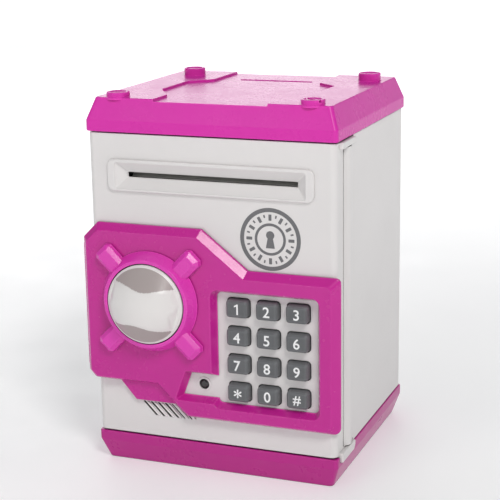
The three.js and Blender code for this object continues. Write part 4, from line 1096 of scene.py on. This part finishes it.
def keep_cad_node(name, material):
    """Gives a CAD node its material, and rounds its edges without changing its mesh."""
    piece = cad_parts[name]
    piece.data.materials.clear()
    piece.data.materials.append(material)
    weld = piece.modifiers.new("weld", "WELD")
    weld.merge_threshold = 0.002 * MM
    flat = piece.modifiers.new("flat_faces", "DECIMATE")
    flat.decimate_type = "DISSOLVE"
    flat.angle_limit = math.radians(0.5)
    edge = piece.modifiers.new("edge_rounds", "BEVEL")
    edge.width = (0.12 if name in CRISP else 0.25) * MM
    edge.segments = 2
    edge.limit_method = "ANGLE"
    edge.angle_limit = math.radians(45)


# ---- stage, light and camera ----
def build_stage():
    """A floor disc whose rim curves up, with emission that is painted light, lower round the middle as a
    painted shadow under the object and fading far out.
    """
    steps = 96
    sweep = soften([(3000, 0), (6500, 0), (6500, 1500)], [0, 700, 0], 12, False)
    mesh = bmesh.new()
    rings = []
    for radius, height in sweep:
        rings.append([mesh.verts.new(placed("Z", x, y, height)) for x, y in circle(radius, steps)])
    mesh.faces.new(rings[0])
    for lower, upper in zip(rings, rings[1:]):
        for i in range(steps):
            j = (i + 1) % steps
            mesh.faces.new((lower[i], lower[j], upper[j], upper[i]))
    floor = to_object(mesh, "floor")
    floor.data.shade_smooth()
    shader = Shader("pale_floor")
    clouds = shader.spread(shader.noise(160, 2), 0.0, 1.0)
    shader.colour(shader.blend(clouds, (0.66, 0.66, 0.67, 1), (0.7, 0.7, 0.7, 1)))
    shader.roughness(shader.spread(shader.noise(45, 3), 0.55, 0.7))
    measure = shader.add("ShaderNodeVectorMath")
    measure.operation = "LENGTH"
    shader.link(shader.place, measure.inputs[0])
    distance = measure.outputs["Value"]  # from the middle of the floor, in metres
    # Painted light from the floor's emission, lower round the middle as a painted shadow under the object.
    painted_shadow_near = shader.spread(distance, 0.32, 0.64, 0.08, 0.6)
    far = shader.spread(distance, 0.0, 0.27, 0.7, 3.0)
    fading = shader.spread(distance, 1.0, 0.42, 4.2, 6.4)
    glow = shader.maths("MULTIPLY", shader.maths("ADD", painted_shadow_near, far), fading)
    shader.uniform(Emission_Color=(1, 1, 1, 1))
    shader.link(glow, shader.surface.inputs["Emission Strength"])
    floor.data.materials.append(shader.material)

    world = bpy.data.worlds.new("studio")
    world.use_nodes = True
    background = world.node_tree.nodes["Background"]
    background.inputs["Color"].default_value = (0.9, 0.94, 1.0, 1)
    background.inputs["Strength"].default_value = 0.17
    bpy.context.scene.world = world


def softbox(name, place, aim, size, radiance, colour=(1.0, 1.0, 1.0)):
    """A rectangular area light at a place in metres; its power follows from its radiance."""
    light = bpy.data.lights.new(name, "AREA")
    light.shape = "RECTANGLE"
    light.size, light.size_y = size
    light.energy = radiance * math.pi * size[0] * size[1]
    light.color = colour
    holder = new_object(name, light)
    holder.location = place
    holder.rotation_euler = (Vector(aim) - Vector(place)).to_track_quat("-Z", "Y").to_euler()
    holder.visible_camera = False


def build_lights():
    middle = (0, 0, 0.1)
    softbox("key", (0.92, -1.1, 1.5), middle, (0.5, 0.5), 23.0, (1.0, 0.99, 0.975))
    softbox("overhead", (-0.2, 0.1, 1.7), middle, (1.8, 1.6), 0.3)
    softbox("behind", (-1.1, 1.6, 0.62), (0, 0, 0.19), (1.7, 1.1), 1.6)
    softbox("front_left", (-0.67, -1.66, 0.95), (0, 0, 0.18), (0.6, 0.3), 5.8)


def build_camera():
    """The camera that was fitted to the photograph's visible edges."""
    azimuth, elevation, roll = math.radians(21.43), math.radians(14.32), math.radians(-0.96)
    target = Vector((-2.1, 0, 102.3)) * MM
    distance = 729.8 * MM
    back = Vector((
        math.sin(azimuth) * math.cos(elevation),
        -math.cos(azimuth) * math.cos(elevation),
        math.sin(elevation),
    ))
    right = Vector((0, 0, 1)).cross(back).normalized()
    up = back.cross(right)
    turned_right = right * math.cos(roll) + up * math.sin(roll)
    turned_up = up * math.cos(roll) - right * math.sin(roll)
    lens = bpy.data.cameras.new("photo_camera")
    lens.sensor_width = 36
    lens.lens = 99.84
    lens.clip_start, lens.clip_end = 0.01, 50
    holder = new_object("photo_camera", lens)
    axes = Matrix((turned_right, turned_up, back)).transposed().to_4x4()
    holder.matrix_world = Matrix.Translation(target + back * distance) @ axes
    bpy.context.scene.camera = holder
    bpy.context.scene.view_settings.view_transform = "Standard"


build_stage()
build_lights()
build_camera()
build_lid()
build_base()
build_battery_cover()
build_cabinet()
build_door()
build_panel()
build_inner_cover()
build_keys()
build_hub()
build_cap()
build_led()
build_dial_print()
build_screws()
for kept_material, kept_slot, kept_nodes in KEPT:
    for kept_node in kept_nodes.split():
        keep_cad_node(kept_node, kept_material)
